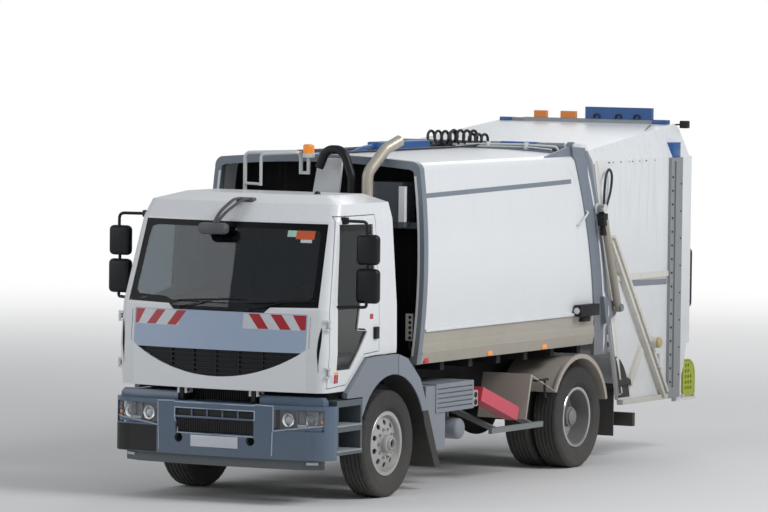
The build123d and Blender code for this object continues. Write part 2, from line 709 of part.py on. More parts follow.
def arch_pieces():
    """Grey wheel-arch trim of the cab and the guard that follows it on the frame."""
    radius = TYRE_R + 152
    skin = 26
    low_x = FRONT_TYRE_X - TYRE_W / 2 + 25
    out_x = 1180

    def on_arc(y, r):
        return (y, TYRE_R + (r * r - y * y) ** 0.5)

    cut = CAB_REAR - 15
    front_skin = [on_arc(cut, radius), (on_arc(-260, radius), on_arc(-598, radius)),
                  on_arc(-598, radius + skin),
                  (on_arc(-260, radius + skin), on_arc(cut, radius + skin))]
    front_face = [on_arc(cut, radius), (on_arc(-260, radius), on_arc(-598, radius)), (-606, 830),
                  (-606, 1012),
                  (ARCH_Y - 24, 1012), (ARCH_Y - 24, CAB_LIP - 12), (ARCH_Y, CAB_LIP - 12), (-520, 1373),
                  (-300, CAB_FLOOR - 12), (cut, CAB_FLOOR - 12)]
    front = fuse(prism("x", front_skin, low_x, out_x - 5), prism("x", front_face, out_x - 55, out_x))
    link = block(1020, out_x - 30, -300, 60, on_arc(0, radius)[1] + 10, CAB_FLOOR - 40)
    front = fuse(front, link)
    rear_skin = [on_arc(cut + 10, radius), (on_arc(420, radius), on_arc(655, radius)), (880, 232), (906, 244),
                 on_arc(684, radius + skin), (on_arc(430, radius + skin), on_arc(cut + 10, radius + skin))]
    rear_face = [on_arc(cut + 10, radius), (on_arc(420, radius), on_arc(655, radius)), (880, 232), (990, 232),
                 (690, 880), (560, 1120), (300, 1330), (cut + 10, CAB_FLOOR - 14)]
    rear = fuse(prism("x", rear_skin, low_x, out_x - 5), prism("x", rear_face, out_x - 40, out_x))
    rear = rear + block(RAIL_X, low_x + 10, 520, 560, 960, 990)
    rear = rear + block(low_x - 20, low_x + 10, 500, 580, 940, 1010)
    save("cab_arches", both(front))
    return rear


def front_bumper():
    low = BUMPER_LOW
    top = BUMPER_TOP
    half = BUMPER_HALF
    skin = BUMPER_SKIN

    def plan(inset):
        return [(-980 + inset, -1325 + inset), ((0, -1400 + inset), (980 - inset, -1325 + inset)),
                ((1130 - inset, -1285 + inset), (half - inset, -1160)), (half - inset, -1120),
                (-half + inset, -1120),
                (-half + inset, -1160), ((-1130 + inset, -1285 + inset), (-980 + inset, -1325 + inset))]

    shell = prism("z", plan(0), low, top) - prism("z", plan(45), low + skin, top - skin)
    shell = shell - block(-430, 430, -1500, -1300, 655, 880)
    for sign in (-1, 1):
        shell = shell - block(sign * 640, sign * 1140, -1500, -1200, 715, 915)
        x = sign * TILT_X
        shell = shell - block(x - 28, x + 28, -1345, -1100, top - skin - 5, top + 5)
        shell = shell - rod((x, -1500, TOW_Z), (x, -1250, TOW_Z), TOW_HOLE_R)
    bars = [block(-431, 431, -1365, -1345, z, z + 14) for z in (700, 745, 790, 835)]
    bars.append(block(-14, 14, -1365, -1340, 654, 881))
    save("front_bumper", fuse(shell, bars))
    lamp = prism("z", plan(8), 715 + SEAT, 915 - SEAT) - prism("z", plan(44), 700, 940)
    lamp = lamp & block(640 + SEAT, 1140 - SEAT, -1500, -1200, 700, 950)
    save("headlamps", both(lamp))


def lower_trim():
    """Entry steps beside the front wheels and the dark skirt under the bumper."""
    steps = []
    path = [(-1112, 480), (-616, 480), (-616, 1000), (-1112, 1000)]
    well = prism("x", path, 880, 1185)
    for z0, z1 in ((520, 700), (760, 940)):
        well = well - block(930, 1200, -1080, -650, z0, z1)
    steps.extend(both(well))
    brackets = [block(sign * RAIL_X, sign * 880, -900, -820, 780, 850) for sign in (-1, 1)]
    outer = [(-900, -1290), ((0, -1350), (900, -1290)), (1080, -1200), (1080, -1150), (-1080, -1150),
             (-1080, -1200)]
    inner = [(-860, -1240), ((0, -1300), (860, -1240)), (1030, -1180), (1030, -1100), (-1030, -1100),
             (-1030, -1180)]
    skirt = prism("z", outer, BUMPER_LOW - 95, BUMPER_LOW)
    skirt = skirt - prism("z", inner, BUMPER_LOW - 120, BUMPER_LOW - 30)
    save("entry_steps", [fuse(steps[0], brackets[1]), fuse(steps[1], brackets[0]), skirt])


# Load body


def joint_y(z, offset=0):
    """Y of the slanted joint between body and tailgate at height z."""
    share = (z - JOINT_LOW_Z) / (JOINT_TOP_Z - JOINT_LOW_Z)
    return JOINT_LOW_Y + share * (JOINT_TOP_Y - JOINT_LOW_Y) + offset


def behind_joint(offset):
    path = [(joint_y(4200, offset), 4200), (9000, 4200), (9000, 0), (joint_y(0, offset), 0)]
    return prism("x", path, -1600, 1600)


def side_bow(z):
    """How far the bowed side falls in from its widest line at height z."""
    chord = [(BOW_LOW_Z, -BOW_LOW), (BOW_MID_Z, 0), (BOW_TOP_Z, -BOW_TOP)]
    (z0, w0), (z1, w1), (z2, w2) = chord
    a = z0 * z0 + w0 * w0
    b = z1 * z1 + w1 * w1
    c = z2 * z2 + w2 * w2
    det = 2 * (z0 * (w1 - w2) + z1 * (w2 - w0) + z2 * (w0 - w1))
    cz = (a * (w1 - w2) + b * (w2 - w0) + c * (w0 - w1)) / det
    cw = (a * (z2 - z1) + b * (z0 - z2) + c * (z1 - z0)) / det
    radius = hypot(z0 - cz, w0 - cw)
    return cw + (radius * radius - (z - cz) ** 2) ** 0.5


def body_path(inset, low):
    """Cross-section of the load body: bowed sides, rounded shoulders and a cambered roof."""
    half = BODY_HALF - inset
    foot = half + side_bow(low)
    top = BOW_TOP_Z
    side = [(foot, low), ((half, BOW_MID_Z), (half - BOW_TOP, top))]
    shoulder = ((half - 77, 3183 - inset * 0.7), (half - 127, 3212 - inset))
    roof = ((0, BODY_TOP - inset), (-half + 127, 3212 - inset))
    other = ((-half + 77, 3183 - inset * 0.7), (-half + BOW_TOP, top))
    return side + [shoulder, roof, other, ((-half, BOW_MID_Z), (-foot, low))]


def body_solid(inset, low, y0, y1):
    return prism("y", body_path(inset, low), y0, y1)


def body_shell():
    y0 = BODY_FRONT + FRAME_LONG
    y1 = JOINT_LOW_Y + 100
    outer = body_solid(0, RAIL_BAND_TOP, y0, y1)
    inner = body_solid(BODY_WALL, RAIL_BAND_TOP - 10, y0 - 10, y1 + 10)
    shell = outer - inner - behind_joint(-POST_DEPTH)
    save("body_shell", shell)


def body_frames():
    """Front ring, slanted rear ring with its gussets, and the hinge eyes on top."""
    y0 = BODY_FRONT
    ring = body_solid(-12, BODY_FLOOR, y0, y0 + FRAME_LONG)
    ring = ring - body_solid(62, BODY_FLOOR + 60, y0 - 5, y0 + FRAME_LONG + 5)
    start = JOINT_TOP_Y - 700
    end = JOINT_LOW_Y + 100
    rear = body_solid(-POST_OUT, RAIL_BAND_TOP - 440, start, end)
    rear = rear - body_solid(BODY_WALL, BODY_FLOOR, start - 10, end + 10)
    ahead = [(joint_y(4200, -POST_DEPTH), 4200), (0, 4200), (0, 0), (joint_y(0, -POST_DEPTH), 0)]
    rear = rear - behind_joint(0) - prism("x", ahead, -1600, 1600)
    rear = rear - block(-FLOOR_HALF, FLOOR_HALF, start - 10, end + 10, 1100, BODY_FLOOR + 70)
    save("body_front_frame", ring)
    top = JOINT_TOP_Z
    gusset_path = [(JOINT_TOP_Y - 1200, top - 70), (joint_y(top - 40, -POST_DEPTH), top - 70),
                   (joint_y(top - 20, -POST_DEPTH), top + 70),
                   (joint_y(top - 20, -POST_DEPTH) - 60, top + 80)]
    post_top = prism("x", [(joint_y(top - 70, -POST_DEPTH), top - 70), (joint_y(top - 70, -8), top - 70),
                           (joint_y(top + 65, -8), top + 65), (joint_y(top + 65, -POST_DEPTH), top + 80)],
                     HINGE_X + 70, HINGE_X + 120)
    eye = rod((HINGE_X - 25, HINGE_Y, HINGE_Z), (HINGE_X + 25, HINGE_Y, HINGE_Z), 58)
    eye = fuse(eye, block(HINGE_X - 25, HINGE_X + 25, HINGE_Y - 58, HINGE_Y + 40, top - 30, HINGE_Z))
    eye = eye - rod((HINGE_X - 40, HINGE_Y, HINGE_Z), (HINGE_X + 31, HINGE_Y, HINGE_Z), HINGE_R + RUN)
    bracket = lift_bracket()
    extras = []
    over = body_solid(-SEAT, RAIL_BAND_TOP, JOINT_TOP_Y - 1300, JOINT_LOW_Y) - behind_joint(-POST_DEPTH)
    for piece in (prism("x", gusset_path, HINGE_X + 65, HINGE_X + 90) - over, post_top, eye, bracket):
        extras.extend(both(piece))
    save("body_rear_frame", fuse(rear, extras))


def lift_bracket():
    """Plate and pin on the rear post that carry a lift cylinder's foot."""
    y, z = CYL_LOW_Y, CYL_LOW_Z
    x0 = GATE_HALF + GATE_STRIP + MOVE_GAP
    x1 = CYL_X - CYL_R - MOVE_GAP
    front = [(joint_y(z + 120, -150), z + 120), (joint_y(z - 160, -150), z - 160)]
    plate = prism("x", front + [(y - 20, z - 95), ((y + 70, z), (y - 10, z + 62))], x0, x1)
    pad = prism("x", front + [(joint_y(z - 160, -5), z - 160), (joint_y(z + 120, -5), z + 120)],
                BODY_HALF - 60, x0 + 2)
    pin = rod((x0, y, z), (CYL_X + CYL_R + 4, y, z), CYL_PIN_R)
    cap = rod((CYL_X + CYL_R + 1, y, z), (CYL_X + CYL_R + 11, y, z), CYL_PIN_R + 14)
    return fuse(plate, pad & body_solid(-60, 1200, JOINT_TOP_Y - 700, JOINT_LOW_Y + 240), pin, cap)


def body_floor():
    y0 = BODY_FRONT + FRAME_LONG
    low = RAIL_IN
    top = RAIL_BAND_TOP
    band = [(low, BODY_FLOOR), (low + 15, BODY_FLOOR), (low + 57, top - 205), (low + 49, top - 198),
            (low + 58, top - 130), (low + 50, top - 122), (low + 63, top - 40), (low + 67, top - 30),
            (low + 67, top), (low, top)]
    rail = prism("y", band, y0, JOINT_LOW_Y) - behind_joint(-POST_DEPTH)
    save("body_rails", both(rail))
    floor = block(-FLOOR_HALF, FLOOR_HALF, y0, JOINT_LOW_Y + 60, BODY_FLOOR, BODY_FLOOR + FLOOR_T)
    side_end = joint_y(BODY_FLOOR, -POST_DEPTH - 20)
    side = block(FLOOR_HALF - 1, RAIL_IN, y0, side_end, BODY_FLOOR, BODY_FLOOR + FLOOR_T)
    floor = fuse(floor, both(side)) - behind_joint(-2)
    bulkhead = body_solid(BODY_WALL + SEAT, BODY_FLOOR + FLOOR_T - 1, BULKHEAD_Y, BULKHEAD_Y + 25)
    trim = block(RAIL_IN - 2, BODY_HALF + 100, BULKHEAD_Y - 100, BULKHEAD_Y + 100, BODY_FLOOR - 50,
                 RAIL_BAND_TOP)
    save("body_floor", fuse(floor, bulkhead - fuse(both(trim))))


def ejector():
    low = BODY_FLOOR + FLOOR_T + SEAT
    face = body_solid(BODY_WALL + 22, low + 30, EJECT_Y, EJECT_Y + 40)
    trim = block(RAIL_IN - 17, BODY_HALF + 100, EJECT_Y - 110, EJECT_Y + 190, BODY_FLOOR - 50,
                 RAIL_BAND_TOP + 10)
    face = face - fuse(both(trim))
    ribs = [block(n * RIB_PITCH - 25, n * RIB_PITCH + 25, EJECT_Y - 70, EJECT_Y, low + 60, BODY_TOP - 210)
            for n in range(-2, 3)]
    shoes = [block(n * RIB_PITCH - 60, n * RIB_PITCH + 60, EJECT_Y - 75, EJECT_Y + 40, low,
                   low + 60) for n in (-2, 2)]
    save("ejector_plate", fuse(face, ribs, shoes))


# Tailgate


GATE_PATH = [(joint_y(JOINT_TOP_Z + 35, JOINT_GAP), JOINT_TOP_Z + 35), (GATE_REAR - 80, RIDGE_Z),
             (GATE_REAR, RIDGE_Z - 45), (GATE_REAR, SILL_Z), (GATE_REAR - 70, SILL_Z - 280),
             (GATE_REAR - 220, GATE_LOW), (joint_y(GATE_LOW, JOINT_GAP), GATE_LOW)]


def gate_view(inset):
    """The tailgate seen from behind, with its chamfered upper corners."""
    half = GATE_HALF - inset
    ridge = RIDGE_HALF - inset * 0.5
    top = RIDGE_Z - inset + 5
    return [(-half, GATE_LOW - 50), (half, GATE_LOW - 50), (half, SHOULDER_Z), (ridge, top), (-ridge, top),
            (-half, SHOULDER_Z)]


def trough_arc(radius, angle):
    """A point of the trough's arc, angle in degrees from straight down, forward positive."""
    return (PIVOT_LOW_Y - radius * sin(radians(angle)), PIVOT_LOW_Z - radius * cos(radians(angle)))


def tailgate_shell():
    ahead = JOINT_TOP_Y - 200
    behind = GATE_REAR + 150
    form = prism("x", GATE_PATH, -GATE_HALF, GATE_HALF) & prism("y", gate_view(0), ahead, behind)
    inner = prism("x", grown(GATE_PATH, -GATE_WALL), -GATE_HALF - 50, GATE_HALF + 50)
    inner = inner & prism("y", gate_view(GATE_WALL), ahead - 100, behind + 100)
    skin = form - inner
    clear = GATE_HALF - GATE_WALL
    skin = skin - block(-clear, clear, ahead, behind, 0, MOUTH_TOP)
    skin = skin - block(-clear, clear, ahead, JOINT_LOW_Y + 440, 0, JOINT_TOP_Z - 270)
    radius = BLADE_R + TROUGH_GAP
    outer = radius + 22
    pan = [(joint_y(1200, JOINT_GAP), 1200), trough_arc(radius, 62),
           (trough_arc(radius, 0), trough_arc(radius, -62)),
           (GATE_REAR, SILL_Z), (GATE_REAR - 28, SILL_Z - 110), trough_arc(outer, -58),
           (trough_arc(outer, 0), trough_arc(outer, 58)), (joint_y(1150, JOINT_GAP), 1150)]
    trough = prism("x", pan, -clear - 4, clear + 4)
    pillar = block(GATE_HALF - 80, GATE_HALF, GATE_REAR - 12, PILLAR_REAR, SILL_Z - 30, SHOULDER_Z)
    guides = [piece for rail in slide_guides() for piece in both(rail)]
    save("tailgate_shell", fuse(skin, trough, both(pillar), gate_hinges(), guides))


def strip(y0, z0, y1, z1, width, x0, x1):
    """A flat bar between two points of the side, width across, from x0 out to x1."""
    length = hypot(y1 - y0, z1 - z0)
    ny, nz = (z1 - z0) / length * width / 2, -(y1 - y0) / length * width / 2
    return prism("x", [(y0 - ny, z0 - nz), (y0 + ny, z0 + nz), (y1 + ny, z1 + nz), (y1 - ny, z1 - nz)], x0,
                 x1)


def tailgate_frame():
    """Channels, braces and bosses on the tailgate's sides."""
    x = GATE_HALF
    parts = []
    low = GATE_LOW
    channel = block(x, CHANNEL_OUT, CHANNEL_Y, CHANNEL_Y + CHANNEL_W, low - 50, CHANNEL_TOP)
    channel = channel - block(x + 14, CHANNEL_OUT + 5, CHANNEL_Y + 70, CHANNEL_Y + 120, low + 60,
                              CHANNEL_TOP - 40)
    parts.append(channel)
    parts.append(block(x, x + GATE_STRIP, joint_y(1915, 95), CHANNEL_Y, 1885, 1945))
    top = CHANNEL_TOP - 10
    parts.append(strip(joint_y(top, 60), top, joint_y(low + 60, 60), low + 60, 84, x, x + GATE_STRIP))
    foot_y = CHANNEL_Y - 90
    head_y = JOINT_LOW_Y - 120
    brace = strip(head_y, 2330, foot_y, low, 120, x, x + BRACE_OUT)
    parts.append(brace - strip(head_y - 40, 2383, foot_y + 30, low - 40, 44, x + 24, x + BRACE_OUT + 18))
    sill_end = CHANNEL_Y + CHANNEL_W
    parts.append(block(GATE_HALF - GATE_WALL, x + 34, joint_y(low, 60), sill_end, low - 55, low))
    parts.append(strip(JOINT_LOW_Y + 370, low + 160, JOINT_LOW_Y + 640, low + 510, 90, x, x + 40))
    boss_y = CHANNEL_Y - 450
    parts.append(rod((x, boss_y, 1210), (x + 118, boss_y, 1210), 60))
    out = CYL_X - CYL_R - MOVE_GAP
    inner = BODY_HALF + POST_OUT + MOVE_GAP
    arm = strip(CYL_TOP_Y, CYL_TOP_Z, joint_y(CYL_TOP_Z - 60, 90), CYL_TOP_Z - 60, 110, inner, out)
    parts.append(arm + rod((inner, CYL_TOP_Y, CYL_TOP_Z), (out, CYL_TOP_Y, CYL_TOP_Z), 55))
    root_y = joint_y(CYL_TOP_Z - 60, 60)
    parts.append(block(x, out, root_y, root_y + 60, CYL_TOP_Z - 110, CYL_TOP_Z - 10))
    save("tailgate_frame", both(fuse(*parts)))


def gate_hinges():
    """Pins and ears that hang the tailgate from the body's rear frame."""
    pin = rod((HINGE_X - 50, HINGE_Y, HINGE_Z), (HINGE_X + 50, HINGE_Y, HINGE_Z), HINGE_R)
    front = joint_y(JOINT_TOP_Z + 35, JOINT_GAP)
    top = JOINT_TOP_Z
    outline = [(HINGE_Y - 36, HINGE_Z), ((HINGE_Y - 25, HINGE_Z - 25), (HINGE_Y, HINGE_Z - 36)),
               (front + 2, top + 20), (front + 160, top + 40), (front + 120, top + 90),
               (HINGE_Y + 10, HINGE_Z + 40),
               ((HINGE_Y - 28, HINGE_Z + 28), (HINGE_Y - 36, HINGE_Z))]
    ears = [prism("x", outline, x, x + 30) for x in (HINGE_X - 65, HINGE_X + 31)]
    return both(fuse(pin, ears))


def slide_vector():
    return (sin(radians(SLIDE_TILT)), -cos(radians(SLIDE_TILT)))


def rest_pivot():
    dy, dz = slide_vector()
    return (PIVOT_LOW_Y - SLIDE_TRAVEL * dy, PIVOT_LOW_Z - SLIDE_TRAVEL * dz)


def along(origin, forward, across):
    """A point at distances along the slide's direction and square to it, rearward positive."""
    dy, dz = slide_vector()
    return (origin[0] + forward * dy - across * dz, origin[1] + forward * dz + across * dy)


def slide_guides():
    """Rails inside the tailgate's walls that the carriage's shoes run between."""
    pivot = rest_pivot()
    start, end = -CARRIAGE_REACH - 25, SLIDE_TRAVEL - 70
    wall = GATE_HALF - GATE_WALL
    rails = []
    for near, far in ((30 + SEAT, 58), (-30 - SEAT, -58)):
        path = [along(pivot, start, near), along(pivot, end, near), along(pivot, end, far),
                along(pivot, start, far)]
        rails.append(prism("x", path, wall - 26, wall + 5))
    return rails[0], rails[1]


def save_packer():
    pivot = rest_pivot()
    reach = CARRIAGE_REACH
    plate = [along(pivot, -reach, -30), along(pivot, -95, -30), along(pivot, -95, 30),
             along(pivot, -reach, 30)]
    carriage = prism("x", plate, -GATE_HALF + GATE_WALL + SEAT, GATE_HALF - GATE_WALL - SEAT)
    for x in CHEEKS:
        cheek = [along(pivot, -220, 29), along(pivot, -220, -29), along(pivot, -80, -29),
                 (along(pivot, 66, 0), along(pivot, -80, 60))]
        carriage = carriage + prism("x", cheek, x - 20, x + 20)
    pins = [rod((x - 60, *pivot), (x + 60, *pivot), RAM_PIN_R) for x in CHEEKS]
    anchor = along(pivot, -reach + 40, 110)
    lever = (pivot[0] + LEVER_R * cos(radians(LEVER_ANGLE)), pivot[1] - LEVER_R * sin(radians(LEVER_ANGLE)))
    way = (lever[0] - anchor[0], lever[1] - anchor[1])
    length = hypot(*way)
    unit = (way[0] / length, way[1] / length)

    def on_line(distance):
        return (anchor[0] + unit[0] * distance, anchor[1] + unit[1] * distance)

    foot, mouth = on_line(-50), on_line(length - 420 - 70)
    extras = []
    for x in PACKER_RAMS:
        barrel = rod((x, *foot), (x, *mouth), 52) - rod((x, *on_line(40)), (x, *on_line(length)), 28 + RUN)
        seat = prism("x",
                     [along(pivot, -reach, 25), along(pivot, -reach + 150, 25),
                      along(pivot, -reach + 120, 80),
                           along(pivot, -reach + 10, 80)], x - 40, x + 40)
        seat = seat - rod((x, *on_line(30)), (x, *on_line(length)), 50)
        extras.append(fuse(barrel, seat))
    save("packer_carriage", fuse(carriage, pins, extras))
    rods = []
    for x in PACKER_RAMS:
        ram = rod((x, *on_line(474)), (x, *on_line(length)), 28)
        eye = rod((x - EYE_HALF, *lever), (x + EYE_HALF, *lever), 48)
        rods.append(fuse(ram, eye))
    save("packer_rods", rods)
    save_blade(pivot, lever)


def save_blade(pivot, lever):
    """The sweeping plate: a ribbed, slightly hollow blade hung from four bosses."""
    def at(radius, angle):
        return (pivot[0] - radius * sin(radians(angle)), pivot[1] - radius * cos(radians(angle)))

    rest = BLADE_REST
    face = [at(70, rest + 40), (at(430, rest + 2), at(BLADE_R, rest + 4)), at(BLADE_R - 6, rest - 3),
            (at(450, rest - 12), at(75, rest - 60))]
    blade = prism("x", face, -BLADE_HALF, BLADE_HALF)
    for x in CHEEKS:
        blade = blade - block(x - 28, x + 28, pivot[0] - 400, pivot[0] + 400, pivot[1] - 92, pivot[1] + 300)
    parts = [blade]
    web_path = [at(20, rest + 90), at(120, rest + 25), at(120, rest - 20), at(20, rest - 90)]
    for x in CHEEKS:
        for x0 in (x - 58, x + 28):
            parts.append(rod((x0, *pivot), (x0 + 30, *pivot), 62) + prism("x", web_path, x0, x0 + 30))
    for x in PACKER_RAMS:
        for side in (-1, 1):
            x0 = x + side * (EYE_HALF + MOVE_GAP)
            x1 = x + side * (EYE_HALF + MOVE_GAP + 24)
            plate = [at(60, rest + 30), at(40, 150), (lever[0] - 20, lever[1] + 22),
                     ((lever[0] + 45, lever[1]), (lever[0] - 12, lever[1] - 42)), at(300, rest - 12)]
            parts.append(prism("x", plate, min(x0, x1), max(x0, x1)))
    joined = fuse(*parts)
    for x in CHEEKS:
        joined = joined - rod((x - 70, *pivot), (x + 70, *pivot), RAM_PIN_R + RUN)
    save("packer_blade", joined)


def bin_lifter():
    y, z = LIFTER_Y, LIFTER_Z
    parts = []
    arm_path = [(y - 34, z + 10), (y + 20, z + 40), (y + 60, z - 40), (y + 100, z - 250), (y + 100, z - 330),
                (y + 60, z - 330), (y + 20, z - 120)]
    for x in LIFTER_ARMS:
        arm = prism("x", arm_path, x - 20, x + 20)
        parts.append(arm - rod((x - 30, y, z), (x + 30, y, z), LIFTER_PIN_R + RUN))
    parts.append(block(-LIFTER_HALF, LIFTER_HALF, y + 62, y + 118, z - 330, z - 240))
    tooth_path = [(y + 112, z - 300), (y + 165, z - 300), (y + 165, z - 190), (y + 150, z - 190),
                  (y + 140, z - 262), (y + 112, z - 262)]
    for x in range(50 - LIFTER_HALF, LIFTER_HALF, 100):
        parts.append(prism("x", tooth_path, x - 16, x + 16))
    save("bin_lifter", fuse(*parts))
    brackets = []
    ear = [(GATE_REAR, z + 40), (y, z + 40), ((y + 40, z), (y, z - 40)), (GATE_REAR, z - 40)]
    for x in LIFTER_ARMS:
        for x0 in (x - 44, x + 26):
            brackets.append(prism("x", ear, x0, x0 + 18))
        brackets.append(rod((x - 50, y, z), (x + 50, y, z), LIFTER_PIN_R))
    return brackets


def footboards():
    """Folding rider steps, folded up, with a rounded outer corner and a mesh floor."""
    x, z, y0 = FOOT_X, FOOT_Z, FOOT_Y
    y1 = y0 + FOOT_LONG
    round_r = 170
    bend = round_r * (1 - 0.5 ** 0.5)
    top = z + FOOT_HIGH
    path = [(y0, z), (y1, z), (y1, top - round_r), ((y1 - bend, top - bend), (y1 - round_r, top)), (y0, top)]
    plate = prism("x", path, x - 12, x + 12)
    for row in range(5):
        for column in range(4):
            hole_y = y0 + 45 + column * 62
            hole_z = z + 60 + row * 60
            if hole_y + 40 < y1 - 30 and not (hole_z > top - round_r and hole_y > y1 - round_r):
                plate = plate - block(x - 20, x + 20, hole_y, hole_y + 38, hole_z, hole_z + 34)
    barrel = rod((x, y0 + 30, z), (x, y1 - 30, z), 15)
    board = fuse(plate, barrel) - rod((x, y0 - 5, z), (x, y1 + 5, z), HINGE_PIN_R + RUN)
    for start in (y0 - 1, y1 - 30):
        board = board - block(x - 30, x + 30, start, start + 31, z - 30, z + 22)
    save("footboard_left", board)
    save("footboard_right", mirrored(board))
    corner = CHANNEL_Y + CHANNEL_W
    base = block(x - 24, x + 24, corner - 30, y1, z - 50, z - 22)
    base = base + block(x - 24, x + 24, corner - 30, corner, z - 50, GATE_LOW - 55)
    for e0, e1 in ((y0 - 2, y0 + 24), (y1 - 24, y1)):
        base = base + block(x - 15, x + 15, e0, e1, z - 30, z + 14)
    return base + rod((x, y0 - 2, z), (x, y1, z), HINGE_PIN_R)


def roof_z(y):
    """Height of the tailgate's sloping roof at y."""
    (y0, z0), (y1, z1) = GATE_PATH[0], GATE_PATH[1]
    return z0 + (y - y0) / (y1 - y0) * (z1 - z0)


def tail_fittings(brackets):
    lamps = []
    for z0, z1 in ((1260, 1330), (1335, 1405), (1410, 1480), (2980, 3080)):
        lamp = block(GATE_HALF - 68, GATE_HALF - 12, PILLAR_REAR, PILLAR_REAR + 22, z0, z1)
        lamps.extend(both(lamp))
    x = GATE_HALF - 40
    out = PILLAR_REAR + 102
    rail = bent_pipe([(x, PILLAR_REAR, 2140), (x, out, 2140), (x, out, 1540), (x, PILLAR_REAR, 1540)], 13, 40)
    stub = rod((x, PILLAR_REAR, 1840), (x, out - 8, 1840), 11)
    save("rear_fittings", both(rail + stub), brackets)
    y0, y1 = GATE_REAR - 160, GATE_REAR - 100
    top = roof_z(y1) + 36
    bar = prism("x", [(y0, roof_z(y0)), (y1, roof_z(y1)), (y1, top), (y0, top)], -720, 900)
    save("roof_box", fuse(bar, block(20, 810, y0 + 4, y1 - 4, top, 3650)))
    for x0, x1 in ((-600, -450), (-280, -100)):
        lamps.append(block(x0, x1, y0 + 8, y1 - 8, top, top + 75))
    save("tail_lamps", lamps)


# Lift cylinders


def lift_line():
    y, z = CYL_TOP_Y - CYL_LOW_Y, CYL_TOP_Z - CYL_LOW_Z
    length = hypot(y, z)
    return length, (y / length, z / length)


def lift_cylinders():
    length, unit = lift_line()

    def on_line(distance):
        return (CYL_X, CYL_LOW_Y + unit[0] * distance, CYL_LOW_Z + unit[1] * distance)

    foot_eye = rod((CYL_X - 34, CYL_LOW_Y, CYL_LOW_Z), (CYL_X + 34, CYL_LOW_Y, CYL_LOW_Z), CYL_PIN_R + 20)
    body = rod(on_line(20), on_line(length - 130), CYL_R)
    gland = rod(on_line(length - 190), on_line(length - 120), CYL_R + 3)
    bore = rod(on_line(110), on_line(length), CYL_ROD_R + RUN)
    barrel = fuse(foot_eye, body, gland) - bore
    barrel = barrel - rod((CYL_X - 50, CYL_LOW_Y, CYL_LOW_Z), (CYL_X + 50, CYL_LOW_Y, CYL_LOW_Z),
                          CYL_PIN_R + RUN)
    ram = rod(on_line(125), on_line(length - 20), CYL_ROD_R)
    eye = rod((CYL_X - 32, CYL_TOP_Y, CYL_TOP_Z), (CYL_X + 34, CYL_TOP_Y, CYL_TOP_Z), 48)
    ram = fuse(ram, eye)
    save("lift_barrels", both(barrel))
    save("lift_rods", both(ram))


# What hangs on the frame's sides


def side_equipment(front_guards):
    inner = RAIL_X + 60
    box = block(inner, 1175, 900, 1690, 760, 1040)
    for n in range(5):
        box = box - block(1160, 1200, 930, 1660, 800 + n * 46, 812 + n * 46)
    cover_path = [(700, 1030), (905, 1030), (905, 758), (1110, 758), (1110, 400), (925, 400), (702, 880)]
    cover = prism("x", cover_path, inner, 1165)
    arm = block(RAIL_X, inner + 5, 1160, 1500, 800, 900)
    air = rod((700, 1160, 575), (700, 1660, 575), 140)
    air = fuse(air, block(660, 740, 1240, 1280, 700, 761), block(660, 740, 1540, 1580, 700, 761))
    save("battery_box", fuse(box, cover, arm, air))
    tank = fillet(block(-1175, -(RAIL_X + 90), 1000, 1990, 440, 1010).edges().filter_by(Axis.Y), 80)
    straps = [block(-(RAIL_X + 95), -RAIL_X, y - 30, y + 30, 740, 960) for y in (1180, 1800)]
    save("fuel_tank", fuse(tank, straps))
    case_rear = WHEELBASE - 1330
    long = case_rear - CASE_FRONT
    save("tool_case", strip(CASE_FRONT, 890, case_rear, 640, CASE_W, CASE_IN, CASE_IN + 150))
    hanger = []
    # share of the case's length, low z, high z of each hanger
    for share, z0, z1 in ((0.38, 780, 860), (0.823, 740, 800)):
        y = CASE_FRONT + share * long
        hanger.append(block(RAIL_X, CASE_IN + 30, y - 30, y + 30, z0, z1))
    room = strip(CASE_FRONT - 50, 906, case_rear + 50, 624, CASE_W + 2 * SEAT, CASE_IN - SEAT, CASE_IN + 156)
    guards = []
    for sign, front_y in ((-1, 2060), (1, 2110)):
        z_low = 500
        parts = [block(sign * 1125, sign * 1165, front_y, WHEELBASE - 760, z_low - 28, z_low + 28)]
        arm = [(sign * RAIL_X, 790), (sign * RAIL_X, 730), (sign * 1125, z_low - 26),
               (sign * 1125, z_low + 26)]
        for y in (front_y + 160, WHEELBASE - 940):
            parts.append(prism("y", arm, y - 25, y + 25))
        guards.append(fuse(*parts))
    save("side_guards", guards, fuse(*hanger) - room)
    rear_guards(front_guards)


